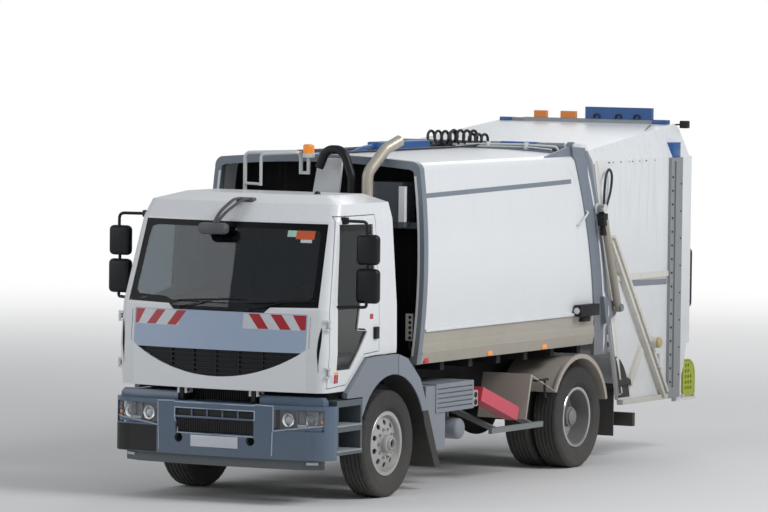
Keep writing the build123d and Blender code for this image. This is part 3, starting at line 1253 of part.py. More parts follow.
def rear_guards(front_guards):
    """Mudguards over the twin wheels with their flaps, and the guards behind the front wheels."""
    y, z = WHEELBASE, TYRE_R
    radius = TYRE_R + 85
    skin = 18
    x0 = REAR_OUTER_X - TWIN_PITCH - TYRE_W / 2 - 10
    x1 = REAR_OUTER_X + TYRE_W / 2 + 8

    def at(angle, r):
        return (y + r * sin(radians(angle)), z + r * cos(radians(angle)))

    top = radius + skin
    band = [at(-62, radius), (at(0, radius), at(76, radius)), at(76, top), (at(0, top), at(-62, top))]
    lip = radius + 46
    face = [at(-62, radius), (at(0, radius), at(76, radius)), at(76, lip), (at(0, lip), at(-62, lip))]
    apron = [at(-62, radius), at(-62, lip), (y - 1120, 1030), (y - 1230, 580), (y - 1210, 575),
             (y - 1090, 1000)]
    guard = fuse(prism("x", band, x0, x1 - 10), prism("x", face, x1 - 24, x1), prism("x", apron, x0 + 90, x1))
    stays = []
    for angle in (-46, 46):
        stay_y = at(angle, radius)[0]
        stays.append(block(RAIL_X, x0 + 20, stay_y - 25, stay_y + 25, 900, 960))
        stays.append(block(x0 - 20, x0 + 20, stay_y - 25, stay_y + 25, 900, at(angle, radius + 9)[1]))
    flap_out = REAR_OUTER_X + 90
    flap = block(x0 + 20, flap_out, y + 900, y + 912, 262, 800)
    flap_arm = block(RAIL_X, flap_out, y + 870, y + 900, 760, 810)
    left = fuse(guard, stays)
    save("mudguards", both(left) + both(front_guards))
    save("mudflaps", both(fuse(flap, flap_arm)), underrun())


def underrun():
    front = WHEELBASE + 1380
    rear = front + 60
    bar = block(-1130, 1130, front, rear, 330, 470)
    arm = [(RAIL_REAR - 120, RAIL_LOW), (RAIL_REAR - 10, RAIL_LOW), (rear, 470), (rear, 400), (front, 360),
           (RAIL_REAR - 120, RAIL_LOW - 60)]
    return fuse(bar, both(prism("x", arm, TILT_X - 20, TILT_X + 20)))


# Behind the cab


def behind_cab():
    """Exhaust stack, air intake, pipe guard, beacon and tanks between cab and body."""
    base = RAIL_TOP
    stack = bent_pipe([(690, 330, 1420), (690, 330, 3110), (780, 530, 3345), (850, 690, 3425)], 56,
                      [150, 110])
    foot = block(620, 820, 220, 440, 1160, 1430)
    arm = block(RAIL_X - 40, 640, 260, 400, 1180, 1300)
    leg = block(RAIL_X - 60, RAIL_X, 260, 400, base, 1300)
    save("exhaust_stack", fuse(stack, foot, arm, leg))
    run = [(150, 330, 3150), (230, 330, 3330), (420, 330, 3330), (520, 330, 3060), (520, 330, 2600)]
    hose = bent_pipe(run, 44, [110, 110, 110])
    housing = block(430, 600, 250, 410, 1440, 2610)
    stand = block(RAIL_X - 60, RAIL_X + 30, 410, 480, base, 1520)
    save("air_intake", fuse(hose, housing, stand))
    guard = bent_pipe([(-690, 340, 1190), (-690, 340, 3275), (-60, 340, 3300), (-60, 340, 3080)], 19, 60)
    inner = bent_pipe([(-430, 200, 2960), (-430, 200, 3270), (-60, 240, 3292), (-60, 338, 3292)], 15, 40)
    tie = rod((-690, 340, 2975), (-430, 200, 2975), 14)
    foot_bar = block(-715, -RAIL_X + 40, 310, 370, 1130, 1200)
    leg = block(-RAIL_X, -RAIL_X + 60, 310, 370, base, 1200)
    mast = block(10, 40, 330, 350, 3080, 3247) + block(-64, 40, 330, 350, 3080, 3110)
    mast = mast + rod((25, 340, 3246), (25, 340, 3285), 62)
    save("pipe_guard", fuse(guard, inner, tie, foot_bar, leg, mast))
    dome = rod((25, 340, 3285), (25, 340, 3375), 56)
    save("beacon_lens", fillet(dome.edges().group_by(Axis.Z)[-1], 26))
    panel = prism("y", [(-110, 2300), (230, 2300), (330, 3245), (60, 3215)], 470, 500)
    panel = fuse(panel, block(-110, 240, 400, 500, 2200, 2320), block(120, 240, 495, BODY_FRONT, 3200, 3238))
    tank = fillet(block(600, BODY_HALF - 262, 590, 880, 2630, 3020).edges().filter_by(Axis.Z), 30)
    shelf = block(600, BODY_HALF - 97, BODY_FRONT + FRAME_LONG, BULKHEAD_Y, 2570, 2630)
    plate_x = BODY_HALF - 252
    side_plate = block(plate_x, plate_x + 65, BODY_FRONT - 50, BODY_FRONT - 2, 2590, 2985)
    side_plate = fuse(side_plate,
                      block(plate_x - 5, plate_x + 55, BODY_FRONT - 50, BODY_FRONT + 150, 2600, 2640))
    reservoir = block(197 - BODY_HALF, 560, 640, BULKHEAD_Y, BODY_FLOOR + FLOOR_T, 2200)
    save("hydraulic_tank", fuse(tank, shelf, side_plate), reservoir, panel)


def main():
    os.makedirs("parts", exist_ok=True)
    wheels()
    axles()
    save("chassis_frame", fuse(chassis_frame(), tilt_brackets()))
    driveline()
    cab_pieces()
    cab_glass()
    save("grille", grille())
    doors()
    cab_interior()
    front_guard = arch_pieces()
    front_bumper()
    lower_trim()
    body_shell()
    body_frames()
    body_floor()
    ejector()
    tailgate_shell()
    tailgate_frame()
    save_packer()
    brackets = bin_lifter()
    tail_fittings(brackets + both(footboards()))
    lift_cylinders()
    side_equipment(front_guard)
    behind_cab()


if __name__ == "__main__":
    main()
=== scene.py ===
"""Paint, glass, rubber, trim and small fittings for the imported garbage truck.

Places are written in millimetres as the truck's builder has them: X to the vehicle's left,
Y rearward from the front axle, Z up from the ground. spot() turns one into the frame's metres.
"""

import math

import bmesh
import bpy
from bpy.props import FloatProperty, FloatVectorProperty, IntProperty, PointerProperty
from mathutils import Matrix, Vector
from mathutils.bvhtree import BVHTree


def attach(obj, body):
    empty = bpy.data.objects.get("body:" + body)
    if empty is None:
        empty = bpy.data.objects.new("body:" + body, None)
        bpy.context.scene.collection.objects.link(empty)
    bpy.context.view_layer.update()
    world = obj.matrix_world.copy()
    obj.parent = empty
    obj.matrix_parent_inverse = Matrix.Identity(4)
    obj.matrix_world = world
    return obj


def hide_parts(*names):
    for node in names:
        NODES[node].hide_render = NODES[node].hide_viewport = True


bl_info = {
    "name": "Garbage truck dressing",
    "version": (1, 0, 0),
    "blender": (4, 5, 0),
    "location": "View3D > Sidebar > Truck",
    "description": "Dresses a two-axle rear-loading garbage truck with paint, glass, rubber and fittings",
    "category": "Object",
}

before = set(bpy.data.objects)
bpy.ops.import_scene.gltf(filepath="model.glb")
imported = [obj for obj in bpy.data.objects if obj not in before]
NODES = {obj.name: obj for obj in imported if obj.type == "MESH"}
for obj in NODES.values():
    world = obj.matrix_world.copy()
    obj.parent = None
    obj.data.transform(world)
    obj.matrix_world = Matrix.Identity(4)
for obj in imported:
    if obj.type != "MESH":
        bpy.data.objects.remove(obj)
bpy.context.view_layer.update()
MM = 1000.0  # millimetres in a metre
AXLE_TO_MIDDLE = 2700.0
REAR_AXLE = 4000
WHEEL_Z = 520
BOTH_SIDES = (("left", 1), ("right", -1))

# Where rays start, clear of the truck
AHEAD, BESIDE, BEHIND, OVERHEAD = -2600, 2200, 7600, 4200

TIP = 0.01  # radius that closes a turned end
MERGE = 1e-6
NEARLY_UPRIGHT = 1e-3


# Places and meshes


def spot(x, y, z):
    """A place in the truck's millimetres as a point in the frame's metres."""
    return Vector((x, y - AXLE_TO_MIDDLE, z)) / MM


def mirrored(sign, points):
    """Points of the left side, moved to the right side where the sign is -1."""
    return [(sign * x, y, z) for x, y, z in points]


def smooth(mesh, angle):
    """Shade a mesh smooth but for its sharp edges."""
    for face in mesh.polygons:
        face.use_smooth = True
    mesh.set_sharp_from_angle(angle=math.radians(angle))


def new_piece(name, bm, body, material, angle=35.0):
    """Turn a bmesh drawn in the frame's metres into a piece that rides on a body."""
    mesh = bpy.data.meshes.new(name)
    bmesh.ops.recalc_face_normals(bm, faces=bm.faces)
    bm.to_mesh(mesh)
    bm.free()
    smooth(mesh, angle)
    piece = bpy.data.objects.new(name, mesh)
    bpy.context.scene.collection.objects.link(piece)
    materials = material if isinstance(material, (list, tuple)) else [material]
    for each in materials:
        mesh.materials.append(each)
    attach(piece, body)
    return piece


def add_box(bm, low, high, bevel=0.0, turn=None, material=0, segments=2, sign=1):
    """A block between two corners in millimetres, with its edges rounded."""
    low, high = mirrored(sign, (low, high))
    size = [abs(b - a) / MM for a, b in zip(low, high)]
    middle = spot(*[(a + b) / 2 for a, b in zip(low, high)])
    place = Matrix.Translation(middle)
    if turn is not None:
        place = place @ turn
    made = bmesh.ops.create_cube(bm, size=1.0, matrix=place @ Matrix.Diagonal((*size, 1.0)))
    verts = made["verts"]
    faces = {face for vert in verts for face in vert.link_faces}
    for face in faces:
        face.material_index = material
    if bevel:
        edges = {edge for vert in verts for edge in vert.link_edges}
        out = bmesh.ops.bevel(bm, geom=list(edges), offset=bevel / MM, segments=segments, affect="EDGES",
                              profile=0.5)
        for face in out["faces"]:
            face.material_index = material


def beside(way):
    """A direction square to another one."""
    way = way.normalized()
    side = way.cross(Vector((0, 0, 1)))
    if side.length < NEARLY_UPRIGHT:
        side = way.cross(Vector((0, 1, 0)))
    return side.normalized()


def add_loops(bm, loops, closed=True, cap=False, material=0):
    """Join rings of points with quads."""
    rings = [[bm.verts.new(point) for point in loop] for loop in loops]
    count = len(rings[0])
    for first, second in zip(rings, rings[1:]):
        for n in range(count if closed else count - 1):
            m = (n + 1) % count
            face = bm.faces.new((first[n], first[m], second[m], second[n]))
            face.material_index = material
    if cap:
        for ring in (rings[0], rings[-1]):
            face = bm.faces.new(ring)
            face.material_index = material
    return rings


def add_lathe(bm, profile, centre, axis="X", steps=48, closed=False, material=0, outward=1):
    """Turn (distance along the axis, radius) points in millimetres about a line through centre."""
    middle = spot(*centre)
    loops = []
    for along, radius in profile:
        ring = []
        for n in range(steps):
            angle = 2 * math.pi * n / steps
            a, b = radius * math.cos(angle) / MM, radius * math.sin(angle) / MM
            c = outward * along / MM
            offset = {"X": (c, a, b), "Y": (a, c, b), "Z": (a, b, c)}[axis]
            ring.append(middle + Vector(offset))
        loops.append(ring)
    if closed:
        loops.append(loops[0])
    rings = add_loops(bm, loops, material=material)
    bmesh.ops.remove_doubles(bm, verts=[v for ring in rings for v in ring if v.is_valid], dist=MERGE)


def rounded(points, bend, steps=6):
    """Round the corners of a run of points, in millimetres."""
    points = [Vector(p) for p in points]
    result = [points[0]]
    for before, corner, after in zip(points, points[1:], points[2:]):
        reach = min(bend, (before - corner).length * 0.49, (after - corner).length * 0.49)
        start = corner + (before - corner).normalized() * reach
        end = corner + (after - corner).normalized() * reach
        for n in range(steps + 1):
            t = n / steps
            result.append(start * (1 - t) ** 2 + corner * 2 * t * (1 - t) + end * t * t)
    result.append(points[-1])
    return result


def add_pipe(bm, points, radius, bend=40, sides=12, material=0, flat=1.0):
    """A round or flattened bar along points in millimetres."""
    path = [spot(*p) for p in rounded(points, bend)]
    side = beside(path[1] - path[0])
    loops = []
    for n, point in enumerate(path):
        before = path[max(n - 1, 0)]
        after = path[min(n + 1, len(path) - 1)]
        way = (after - before).normalized()
        side = (side - way * side.dot(way)).normalized()
        up = way.cross(side)
        ring = []
        for k in range(sides):
            angle = 2 * math.pi * k / sides
            ring.append(point + (side * math.cos(angle) + up * math.sin(angle) * flat) * radius / MM)
        loops.append(ring)
    add_loops(bm, loops, cap=True, material=material)


def add_hex(bm, centre, sign, radius, height):
    """A hexagon nut with its washer and stud end, standing out from a wheel."""
    washer = radius * 1.35
    profile = [(0, washer), (height * 0.18, washer), (height * 0.2, radius), (height * 0.85, radius),
               (height, radius * 0.86), (height, radius * 0.55), (height * 1.25, radius * 0.5),
               (height * 1.3, TIP)]
    add_lathe(bm, profile, centre, steps=6, outward=sign)


SEARCH_TREES = {}


def search_tree(node):
    """The search tree of a CAD part's faces, made once."""
    if node not in SEARCH_TREES:
        mesh = NODES[node].data
        verts = [v.co.copy() for v in mesh.vertices]
        SEARCH_TREES[node] = BVHTree.FromPolygons(verts, [tuple(p.vertices) for p in mesh.polygons])
    return SEARCH_TREES[node]


def land(nodes, origin, way):
    """The first point that a ray meets on the named nodes, or None."""
    best, nearest = None, math.inf
    for node in nodes:
        hit, _, _, distance = search_tree(node).ray_cast(origin, way)
        if hit is not None and distance < nearest:
            best, nearest = hit, distance
    return best


# For each side, the direction of its rays and where the ray over a point of its plane starts
SIDES = {
    "front": (Vector((0, 1, 0)), lambda a, b: spot(a, AHEAD, b)),
    "left": (Vector((-1, 0, 0)), lambda a, b: spot(BESIDE, a, b)),
    "right": (Vector((1, 0, 0)), lambda a, b: spot(-BESIDE, a, b)),
    "rear": (Vector((0, -1, 0)), lambda a, b: spot(a, BEHIND, b)),
    "top": (Vector((0, 0, -1)), lambda a, b: spot(a, b, OVERHEAD)),
}


def face_y(nodes, x, z):
    """How far rearward of the front axle the named nodes face the front at (x, z), or None."""
    way, start = SIDES["front"]
    found = land(nodes, start(x, z), way)
    return None if found is None else found.y * MM + AXLE_TO_MIDDLE


def add_skin(bm, side, nodes, rows, lift=1.5, material=0):
    """Lay rows of plane points on the named nodes as a thin skin held just off them."""
    way, start = SIDES[side]
    loops = []
    for row in rows:
        line = []
        for a, b in row:
            found = land(nodes, start(a, b), way)
            if found is None:
                raise RuntimeError(f"nothing under ({a:.0f}, {b:.0f}) seen from the {side} on {nodes}")
            line.append(found - way * lift / MM)
        loops.append(line)
    add_loops(bm, loops, closed=False, material=material)


def quad_rows(corners, steps=6, lines=2):
    """Rows of points between four corners: two along the foot, then two along the top, the other way."""
    a, b, c, d = [Vector(corner) for corner in corners]
    rows = []
    for i in range(lines):
        t = i / (lines - 1)
        left, right = a.lerp(d, t), b.lerp(c, t)
        rows.append([tuple(left.lerp(right, n / (steps - 1))) for n in range(steps)])
    return rows


def block_rows(a0, a1, b0, b1, steps=6, lines=2):
    """Rows of points over an upright rectangle."""
    return quad_rows([(a0, b0), (a1, b0), (a1, b1), (a0, b1)], steps, lines)


def ring_point(path, middle, angle):
    """Where a line from the middle at an angle leaves a closed path."""
    way = Vector((math.cos(angle), math.sin(angle)))
    best = 0
    for (x0, z0), (x1, z1) in zip(path, path[1:] + path[:1]):
        edge = Vector((x1 - x0, z1 - z0))
        det = way.x * -edge.y + way.y * edge.x
        if abs(det) < 1e-9:
            continue
        offset = Vector((x0 - middle[0], z0 - middle[1]))
        t = (offset.x * -edge.y + offset.y * edge.x) / det
        s = (way.x * offset.y - way.y * offset.x) / det
        if t > 0 and -1e-6 <= s <= 1 + 1e-6:
            best = max(best, t)
    return (middle[0] + way.x * best, middle[1] + way.y * best)


def soft_corners(path, bend):
    """A closed plane path with its corners rounded."""
    loop = [(x, z, 0) for x, z in path]
    whole = rounded([loop[-1]] + loop + [loop[0]], bend, steps=5)[1:-1]
    return [(p.x, p.y) for p in whole]


def ring_rows(outer, inner, middle, count):
    """Two rows of points, one round each of two closed paths."""
    angles = [2 * math.pi * n / count for n in range(count + 1)]
    return [[ring_point(path, middle, a) for a in angles] for path in (outer, inner)]


# Finishes


NUMBER = "NodeSocketFloat"
COLOUR = "NodeSocketColor"

# Colours that the groups show where nothing is plugged in
PLAIN_TONE = (0.8, 0.8, 0.8, 1)
PLAIN_DIRT = (0.2, 0.18, 0.15, 1)
PLAIN_UNDER = (0.2, 0.15, 0.12, 1)


def make_group(name, inputs, outputs):
    """A shader group with named sockets; returns the tree and its two end nodes."""
    made = bpy.data.node_groups.new(name, "ShaderNodeTree")
    for socket, kind, value in inputs:
        made.interface.new_socket(name=socket, in_out="INPUT", socket_type=kind).default_value = value
    for socket, kind in outputs:
        made.interface.new_socket(name=socket, in_out="OUTPUT", socket_type=kind)
    return made, made.nodes.new("NodeGroupInput"), made.nodes.new("NodeGroupOutput")


def feed(tree, value, socket):
    """Give a socket a plain value, or a link from another node."""
    if isinstance(value, (int, float, tuple)):
        socket.default_value = value
    else:
        tree.links.new(value, socket)


def maths(tree, operation, a, b=None, clamp=False):
    node = tree.nodes.new("ShaderNodeMath")
    node.operation = operation
    node.use_clamp = clamp
    feed(tree, a, node.inputs[0])
    if b is not None:
        feed(tree, b, node.inputs[1])
    return node.outputs[0]


def vector_maths(tree, operation, a, b=None, output="Vector"):
    node = tree.nodes.new("ShaderNodeVectorMath")
    node.operation = operation
    feed(tree, a, node.inputs[0])
    if b is not None:
        feed(tree, b, node.inputs[1])
    return node.outputs[output]


def blend_colour(tree, factor, a, b):
    """One colour where the factor is 0, the other where it is 1."""
    node = tree.nodes.new("ShaderNodeMix")
    node.data_type = "RGBA"
    for value, socket in ((factor, node.inputs[0]), (a, node.inputs[6]), (b, node.inputs[7])):
        feed(tree, value, socket)
    return node.outputs[2]


def noise(tree, vector, scale, detail=4.0, rough=0.55):
    node = tree.nodes.new("ShaderNodeTexNoise")
    node.inputs["Detail"].default_value = detail
    node.inputs["Roughness"].default_value = rough
    feed(tree, vector, node.inputs["Vector"])
    feed(tree, scale, node.inputs["Scale"])
    return node.outputs["Fac"]


def object_place(tree, stretch=None):
    """Places on the part in metres, stretched where a pattern has a direction."""
    place = tree.nodes.new("ShaderNodeTexCoord").outputs["Object"]
    if stretch:
        mapping = tree.nodes.new("ShaderNodeMapping")
        mapping.inputs["Scale"].default_value = stretch
        tree.links.new(place, mapping.inputs["Vector"])
        place = mapping.outputs[0]
    return place


def surface_group():
    """Slight unevenness of a finish: cloudy tone, roughness that wanders, and a fine skin."""
    made, start, end = make_group(
        "Surface unevenness",
        [("Colour", COLOUR, PLAIN_TONE), ("Cloud", NUMBER, 0.06),
         ("Roughness", NUMBER, 0.4), ("Spread", NUMBER, 0.12), ("Grain", NUMBER, 60.0)],
        [("Colour", COLOUR), ("Roughness", NUMBER), ("Height", NUMBER)])
    place = object_place(made)
    cloud = maths(made, "SUBTRACT", noise(made, place, 1.7, 5.0), 0.5)
    tone = maths(made, "ADD", maths(made, "MULTIPLY", cloud, start.outputs["Cloud"]), 1.0)
    scale = made.nodes.new("ShaderNodeVectorMath")
    scale.operation = "SCALE"
    made.links.new(start.outputs["Colour"], scale.inputs[0])
    made.links.new(tone, scale.inputs["Scale"])
    made.links.new(scale.outputs[0], end.inputs["Colour"])
    patch = maths(made, "SUBTRACT", noise(made, place, 7.0, 6.0), 0.5)
    drift = maths(made, "MULTIPLY", patch, start.outputs["Spread"])
    rough = maths(made, "ADD", start.outputs["Roughness"], drift, clamp=True)
    made.links.new(rough, end.inputs["Roughness"])
    made.links.new(noise(made, place, start.outputs["Grain"], 3.0), end.inputs["Height"])
    return made


def grime_group():
    """Road dirt that thickens towards the ground and runs down in streaks."""
    made, start, end = make_group(
        "Road grime",
        [("Colour", COLOUR, PLAIN_TONE), ("Dirt", COLOUR, PLAIN_DIRT),
         ("Roughness", NUMBER, 0.4), ("Amount", NUMBER, 0.5), ("Low", NUMBER, 0.4),
         ("High", NUMBER, 1.6), ("Streaks", NUMBER, 0.2)],
        [("Colour", COLOUR), ("Roughness", NUMBER), ("Mask", NUMBER)])
    place = object_place(made)
    height = made.nodes.new("ShaderNodeSeparateXYZ")
    made.links.new(place, height.inputs[0])
    fade = made.nodes.new("ShaderNodeMapRange")
    made.links.new(height.outputs["Z"], fade.inputs["Value"])
    made.links.new(start.outputs["Low"], fade.inputs["From Min"])
    made.links.new(start.outputs["High"], fade.inputs["From Max"])
    fade.inputs["To Min"].default_value = 1.0
    fade.inputs["To Max"].default_value = 0.0
    speckle = noise(made, place, 4.5, 8.0, 0.65)
    level = maths(made, "MULTIPLY", fade.outputs[0], maths(made, "ADD", speckle, 0.35))
    level = maths(made, "MULTIPLY", level, start.outputs["Amount"], clamp=True)
    runs = noise(made, object_place(made, (9.0, 9.0, 0.55)), 2.2, 5.0, 0.6)
    runs = maths(made, "MULTIPLY", maths(made, "SUBTRACT", runs, 0.52, clamp=True), 4.0)
    runs = maths(made, "MULTIPLY", runs, start.outputs["Streaks"])
    mask = maths(made, "MAXIMUM", level, runs, clamp=True)
    made.links.new(blend_colour(made, mask, start.outputs["Colour"], start.outputs["Dirt"]),
                   end.inputs["Colour"])
    rough = maths(made, "ADD", start.outputs["Roughness"], maths(made, "MULTIPLY", mask, 0.35), clamp=True)
    made.links.new(rough, end.inputs["Roughness"])
    made.links.new(mask, end.inputs["Mask"])
    return made


def wear_group():
    """Chips and rubbed spots where the finish below shows."""
    made, start, end = make_group(
        "Chipped wear",
        [("Colour", COLOUR, PLAIN_TONE), ("Under", COLOUR, PLAIN_UNDER),
         ("Amount", NUMBER, 0.3), ("Size", NUMBER, 14.0)],
        [("Colour", COLOUR), ("Mask", NUMBER)])
    place = object_place(made)
    coarse = noise(made, place, start.outputs["Size"], 9.0, 0.72)
    wide = noise(made, place, 1.3, 2.0)
    level = maths(made, "ADD", coarse, maths(made, "MULTIPLY", maths(made, "SUBTRACT", wide, 0.5), 0.35))
    edge = maths(made, "SUBTRACT", 0.82, maths(made, "MULTIPLY", start.outputs["Amount"], 0.35))
    mask = maths(made, "MULTIPLY", maths(made, "SUBTRACT", level, edge, clamp=True), 14.0, clamp=True)
    made.links.new(blend_colour(made, mask, start.outputs["Colour"], start.outputs["Under"]),
                   end.inputs["Colour"])
    made.links.new(mask, end.inputs["Mask"])
    return made


GROUPS = {}


def use_group(tree, name, **values):
    """Place a shader group in a material with its own values."""
    node = tree.nodes.new("ShaderNodeGroup")
    node.node_tree = GROUPS[name]
    for socket, value in values.items():
        feed(tree, value, node.inputs[socket])
    return node


def rgba(colour):
    return (*tuple(colour)[:3], 1.0)


FINISHES = {}
COAT_ROUGHNESS = 0.12
SKIN_DEPTH = 0.004
CHIP_SIZE = 14.0
GLASS_IOR = 1.45
RIBS = 90.0
RIB_DEPTH = 0.002


def new_material(name, colour, see_through=1.0):
    """A material with its node tree and its shader."""
    material = bpy.data.materials.new(name)
    material.use_nodes = True
    material.diffuse_color = (*tuple(colour)[:3], see_through)
    FINISHES[name] = material
    return material, material.node_tree, material.node_tree.nodes["Principled BSDF"]


def feed_surface(tree, source, shader):
    """Take a shader's colour and roughness from a group's outputs."""
    tree.links.new(source.outputs["Colour"], shader.inputs["Base Color"])
    tree.links.new(source.outputs["Roughness"], shader.inputs["Roughness"])


def add_bump(tree, height, shader, strength, depth):
    """Raise a shader's surface by a height."""
    bump = tree.nodes.new("ShaderNodeBump")
    bump.inputs["Strength"].default_value = strength
    bump.inputs["Distance"].default_value = depth
    tree.links.new(height, bump.inputs["Height"])
    tree.links.new(bump.outputs[0], shader.inputs["Normal"])


def finish(name, colour, rough, metal=0.0, coat=0.0, cloud=0.05, grain=60.0, skin=0.02,
           dirt=(0.21, 0.19, 0.16), specular=0.5, amount=0.3, low=0.4, high=1.7, streaks=0.12, wear=0.0,
           under=(0.16, 0.11, 0.08), spread=0.14):
    """A painted, bare or moulded finish with unevenness, road dirt and chips."""
    if name in FINISHES:
        return FINISHES[name]
    material, tree, shader = new_material(name, colour)
    shader.inputs["Metallic"].default_value = metal
    shader.inputs["Coat Weight"].default_value = coat
    shader.inputs["Coat Roughness"].default_value = COAT_ROUGHNESS
    shader.inputs["Specular IOR Level"].default_value = specular
    even = use_group(tree, "surface", Colour=rgba(colour), Cloud=cloud, Roughness=rough, Spread=spread,
                     Grain=grain)
    tone = even.outputs["Colour"]
    if wear:
        chips = use_group(tree, "wear", Colour=tone, Under=rgba(under), Amount=wear, Size=CHIP_SIZE)
        tone = chips.outputs["Colour"]
    grime = use_group(tree, "grime", Colour=tone, Dirt=rgba(dirt), Roughness=even.outputs["Roughness"],
                      Amount=amount, Low=low, High=high, Streaks=streaks)
    feed_surface(tree, grime, shader)
    add_bump(tree, even.outputs["Height"], shader, skin, SKIN_DEPTH)
    return material


def glass(name, colour, rough=0.02):
    """Clear or tinted glass, a little uneven."""
    if name in FINISHES:
        return FINISHES[name]
    material, tree, shader = new_material(name, colour, see_through=0.4)
    shader.inputs["Transmission Weight"].default_value = 1.0
    shader.inputs["IOR"].default_value = GLASS_IOR
    even = use_group(tree, "surface", Colour=rgba(colour), Cloud=0.08, Roughness=rough, Spread=0.05,
                     Grain=30.0)
    feed_surface(tree, even, shader)
    return material


def lit_plastic(name, colour, glow=0.0):
    """Coloured lamp plastic with fine ribs moulded inside."""
    if name in FINISHES:
        return FINISHES[name]
    material, tree, shader = new_material(name, colour)
    even = use_group(tree, "surface", Colour=rgba(colour), Cloud=0.2, Roughness=0.16, Spread=0.1, Grain=40.0)
    feed_surface(tree, even, shader)
    wave = tree.nodes.new("ShaderNodeTexWave")
    wave.inputs["Scale"].default_value = RIBS
    wave.inputs["Distortion"].default_value = 0.4
    tree.links.new(object_place(tree), wave.inputs["Vector"])
    add_bump(tree, wave.outputs["Fac"], shader, 0.3, RIB_DEPTH)
    shader.inputs["Coat Weight"].default_value = 0.4
    if glow:
        tree.links.new(even.outputs["Colour"], shader.inputs["Emission Color"])
        shader.inputs["Emission Strength"].default_value = glow
    return material


# Where two colours of one part meet, in the frame's metres

GRILLE_CURVE_CENTRE = (0, 0, 3.025)
GRILLE_CURVE_RADIUS = 1.80
CURVE_SHARPNESS = 60.0
FRONT_GUARDS_END = -1.2
WELL_HALF = 1.168
FLAP_TOP = 0.80
SHOULDER_Z = 3.2
CHANNEL_FRONT = 3.34
STRIP_LEAN = 0.268
STRIP_END = 2.42
BRACKET_TOP = 1.45
ROOF_BAR_TOP = 3.521
COVER_REAR = -2.13
COVER_INNER = 0.5
STRIP_INNER = 0.939
STRIP_FOOT = 2.64


def coordinate(tree, place, axis):
    parts = tree.nodes.new("ShaderNodeSeparateXYZ")
    tree.links.new(place, parts.inputs[0])
    return parts.outputs[axis]


def past(tree, place, axis, limit):
    """1 where a coordinate is greater than a limit."""
    return maths(tree, "GREATER_THAN", coordinate(tree, place, axis), limit)


def short_of(tree, place, axis, limit):
    """1 where a coordinate is less than a limit."""
    return maths(tree, "LESS_THAN", coordinate(tree, place, axis), limit)


def curve_below_grille(tree, place):
    """1 below the grille's curve, 0 above it."""
    shift = vector_maths(tree, "SUBTRACT", place, GRILLE_CURVE_CENTRE)
    flat = vector_maths(tree, "MULTIPLY", shift, (1, 0, 1))
    length = vector_maths(tree, "LENGTH", flat, output="Value")
    beyond = maths(tree, "SUBTRACT", length, GRILLE_CURVE_RADIUS)
    return maths(tree, "MULTIPLY", beyond, CURVE_SHARPNESS, clamp=True)


def front_guard(tree, place):
    """1 on the guards that follow the front wheels, 0 on those over the rear wheels."""
    return short_of(tree, place, "Y", FRONT_GUARDS_END)


def wheel_well(tree, place):
    """1 inside the front wheel wells and on the low flap behind each front wheel."""
    across = maths(tree, "ABSOLUTE", coordinate(tree, place, "X"))
    inside = maths(tree, "LESS_THAN", across, WELL_HALF)
    ahead = front_guard(tree, place)
    flap = maths(tree, "MULTIPLY", short_of(tree, place, "Z", FLAP_TOP), ahead)
    return maths(tree, "MAXIMUM", maths(tree, "MULTIPLY", inside, ahead), flap)


def high_up(tree, place):
    """1 above the tailgate's shoulders."""
    return past(tree, place, "Z", SHOULDER_Z)


def ahead_of_channel(tree, place):
    """1 on the tailgate's braces and strips, 0 on the upright channels behind them."""
    return short_of(tree, place, "Y", CHANNEL_FRONT)


def front_strip(tree, place):
    """1 on the strip along the tailgate's slanted front edge."""
    lean = maths(tree, "MULTIPLY", coordinate(tree, place, "Z"), STRIP_LEAN)
    line = maths(tree, "ADD", lean, coordinate(tree, place, "Y"))
    return maths(tree, "LESS_THAN", line, STRIP_END)


def grab_rails(tree, place):
    """1 on the grab rails, 0 on the brackets below them."""
    return past(tree, place, "Z", BRACKET_TOP)


def above_roof_bar(tree, place):
    """1 on the lamp box, 0 on the bar that carries it."""
    return past(tree, place, "Z", ROOF_BAR_TOP)


def white_covers(tree, place):
    """1 on the white cover and the white strip beside the hydraulic tank."""
    ahead = short_of(tree, place, "Y", COVER_REAR)
    lid = maths(tree, "MULTIPLY", ahead, short_of(tree, place, "X", COVER_INNER))
    outside = past(tree, place, "X", STRIP_INNER)
    strip = maths(tree, "MULTIPLY", outside, past(tree, place, "Z", STRIP_FOOT))
    return maths(tree, "MAXIMUM", lid, strip)


def two_tone(name, first, second, split, rough=0.32, amount=0.1, third=None, split_third=None, streaks=0.03,
             wear=0.0):
    """A paint of two or three colours that meet along lines of the part's own shape."""
    if name in FINISHES:
        return FINISHES[name]
    material = finish(name, first, rough, coat=0.2, cloud=0.05, amount=amount, low=0.5, high=1.5,
                      streaks=streaks, wear=wear)
    tree = material.node_tree
    even = next(n for n in tree.nodes if n.type == "GROUP" and n.node_tree == GROUPS["surface"])
    tone = blend_colour(tree, split(tree, object_place(tree)), rgba(first), rgba(second))
    if split_third:
        tone = blend_colour(tree, split_third(tree, object_place(tree)), tone, rgba(third))
    tree.links.new(tone, even.inputs["Colour"])
    return material


def rubber(name, colour, rough, grain, dust):
    """Dull rubber under a film of road dust."""
    return finish(name, colour, rough, cloud=0.25, grain=grain, skin=0.12, dirt=(0.19, 0.175, 0.155),
                  amount=dust, low=-0.2, high=1.3, streaks=0.0)


# What a user may change


